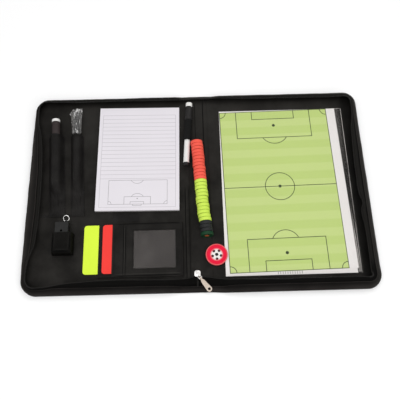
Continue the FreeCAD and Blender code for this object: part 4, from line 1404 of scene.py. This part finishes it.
# each end: its piece, node, body, finish and slot, then where the profile starts, its way and the profile
TURNED = (
    ("marker_cap_turned", "sleeve_marker_cap", "sleeve_marker", "dark", "dark_plastic", MARKER_SEAT, MARKER_WAY,
     ((82.0, 0.0), (82.0, 6.3), (82.5, 6.8), (83.4, 6.95), (104.0, 7.0), (104.4, 6.8), (104.8, 7.0), (111.6, 7.0),
      (112.2, 6.8), (112.4, 6.4), (112.4, 0.0))),
    ("marker_plug_turned", "sleeve_marker_plug", "sleeve_marker", "white", "white_plastic", MARKER_SEAT, MARKER_WAY,
     ((112.45, 0.0), (112.45, 6.7), (112.8, 7.0), (117.0, 7.0), (117.4, 6.8), (117.6, 6.3), (117.6, 0.0))),
    ("dry_wipe_cap_turned", "loop_marker_cap", "loop_marker", "cap", "dark_plastic", LOOP_TAIL, LOOP_WAY,
     ((87.1, 0.0), (87.1, 5.7), (87.4, 6.1), (88.0, 6.2), (92.4, 6.2), (92.8, 5.95), (93.4, 5.95), (93.8, 6.15),
      (112.4, 6.1), (113.0, 5.9), (113.2, 5.5), (113.2, 0.0))),
    ("dry_wipe_plug_turned", "loop_marker_plug", "loop_marker", "white", "white_plastic", LOOP_TAIL, LOOP_WAY,
     ((113.25, 0.0), (113.25, 5.5), (113.6, 5.8), (120.0, 5.8), (120.5, 5.6), (120.7, 5.2), (120.7, 0.0))),
)
for label, node, body, finish, slot, start, way, profile in TURNED:
    dress(label, lathe(profile, start, way), finish, body, slot, [node], sharp=40)


# ---------------------------------------------------------------- zip slider and spare sheets

SLIDER_AT = Vector((-8.0, -147.5, 1.85))


def block(bm, centre, size, plan_r, edge_r):
    """Adds a box with rounded corners in plan and softened rims to bm."""
    part = bmesh.new()
    bmesh.ops.create_cube(part, size=1.0)
    bmesh.ops.scale(part, vec=size, verts=part.verts)
    upright = [e for e in part.edges if abs(e.verts[0].co.z - e.verts[1].co.z) > size[2] / 2]
    round_off(part, upright, plan_r, 5)
    round_off(part, level_edges(part), edge_r, 3)
    bmesh.ops.translate(part, vec=SLIDER_AT + Vector(centre), verts=part.verts)
    join(bm, part)


bm = bmesh.new()
block(bm, (0, 0, 0.65), (9.2, 10.0, 1.3), 2.6, 0.35)
block(bm, (0, 0.2, 3.7), (10.2, 10.2, 1.6), 3.6, 0.7)
block(bm, (0, -3.0, 2.2), (1.8, 3.0, 3.4), 0.5, 0.1)
for side in (-1, 1):
    block(bm, (side * 4.0, 0.0, 1.5), (1.0, 6.0, 1.2), 0.3, 0.2)
    block(bm, (side * 4.0, 0.0, 2.75), (1.0, 6.0, 0.6), 0.3, 0.1)
STUB = ((0.0, 0.0), (0.0, 1.1), (2.2, 1.1), (2.2, 1.8), (2.45, 2.1), (2.7, 1.9), (2.9, 1.2), (2.95, 0.0))
join(bm, lathe(STUB, SLIDER_AT + Vector((0, -2.0, 4.3)), UP, 24))
dress("slider_body", bm, "nickel", "spine", "zip_metal", ["zip_slider"], sharp=35)

SHEET_CORNERS = ((37.2, -153.0), (246.0, -153.2), (38.7, 143.8), (239.6, 143.8))
for number in range(3):
    def sheet_point(u, v):
        near, far = (Vector(SHEET_CORNERS[k]).lerp(Vector(SHEET_CORNERS[k + 1]), u) for k in (0, 2))
        at = near.lerp(far, v)
        shift = 0.35 * (2 - number)
        x = at.x - shift * (0.6 - u)
        y = at.y + shift * (0.5 - v) * 0.8
        return Vector((x, y, 3.25 + 0.24 * number + 0.03 * noise.noise((x * 0.02, y * 0.02, number))))
    paper_sheet = dress("spare_sheet_" + str(number + 1), grid(24, 32, sheet_point), "sheet", "right_half",
                        "sheet_paper", ["sheet_stack"], facing=upward, wall=0.2)


# ---------------------------------------------------------------- finishes of the hard pieces

FINISH = {
    "left_board": "board", "right_board": "board", "window_film": "window", "cover_film": "film",
    "pitch_sheet": "pitch", "pad_backing": "pad card", "pad_sheets": "pad", "pad_page": "page",
    "sleeve_marker_barrel": "white", "wrapped_pen": "black", "loop_marker_tail": "cap", "loop_marker_barrel": "white",
    "whistle_body": "whistle", "whistle_ring": "steel",
    "yellow_card": "yellow card", "red_card": "red card", "coin_rim": "coin rim", "coin_face": "enamel",
    "pull_yoke": "nickel", "pull_tab": "tab nickel",
}
for node, finish in FINISH.items():
    for held in solids[node].material_slots:
        held.material = look[finish]


# ---------------------------------------------------------------- floor, light and camera

bm = bmesh.new()
bmesh.ops.create_grid(bm, x_segments=2, y_segments=2, size=3.0)
bmesh.ops.translate(bm, verts=bm.verts, vec=(0, 0, -0.0004))
mesh = bpy.data.meshes.new("floor")
bm.to_mesh(mesh)
bm.free()
floor = bpy.data.objects.new("floor", mesh)
bpy.context.scene.collection.objects.link(floor)
made, place = material("pale_floor")
mesh.materials.append(coat(made, mix(cloudy(place, 3.0), (0.97, 0.97, 0.97), (0.95, 0.95, 0.95)), 0.9, shine=0.0))

world = bpy.data.worlds.new("studio")
bpy.context.scene.world = world
world.use_nodes = True
fill(world.node_tree.nodes["Background"], {"Color": (1.0, 1.0, 1.0, 1.0), "Strength": 0.62})


def softbox(name, at, aim, size, power):
    lamp = bpy.data.lights.new(name, "AREA")
    lamp.shape = "RECTANGLE"
    lamp.size, lamp.size_y = size
    lamp.energy = power
    made = bpy.data.objects.new(name, lamp)
    made.location = at
    made.rotation_euler = (Vector(aim) - Vector(at)).to_track_quat("-Z", "Y").to_euler()
    bpy.context.scene.collection.objects.link(made)


softbox("key", (-0.4, -0.5, 1.85), (0, 0, 0), (1.2, 0.9), 14.0)
softbox("back", (0.5, 1.0, 1.5), (0, 0, 0), (1.2, 0.8), 4.5)
softbox("front", (1.0, -1.2, 1.1), (0, 0.05, 0), (1.4, 0.7), 5.2)

CAMERA_AT = (-0.011970, -0.338529, 0.826515)
YAW, TILT, ROLL = math.radians(2.139), math.radians(69.0), math.radians(-0.374)
ahead = Vector((math.sin(YAW) * math.cos(TILT), math.cos(YAW) * math.cos(TILT), -math.sin(TILT)))
level = Vector((math.cos(YAW), -math.sin(YAW), 0))
rise = level.cross(ahead)
cam_x = math.cos(ROLL) * level - math.sin(ROLL) * rise
cam_y = math.sin(ROLL) * level + math.cos(ROLL) * rise
camera = bpy.data.objects.new("camera", bpy.data.cameras.new("camera"))
camera.data.sensor_width = 36.0
camera.data.lens = 47.73
camera.matrix_world = (Matrix.Translation(CAMERA_AT)
                       @ Matrix((cam_x, cam_y, -ahead)).transposed().to_4x4())
bpy.context.scene.collection.objects.link(camera)
bpy.context.scene.camera = camera
bpy.context.scene.view_settings.view_transform = "Standard"
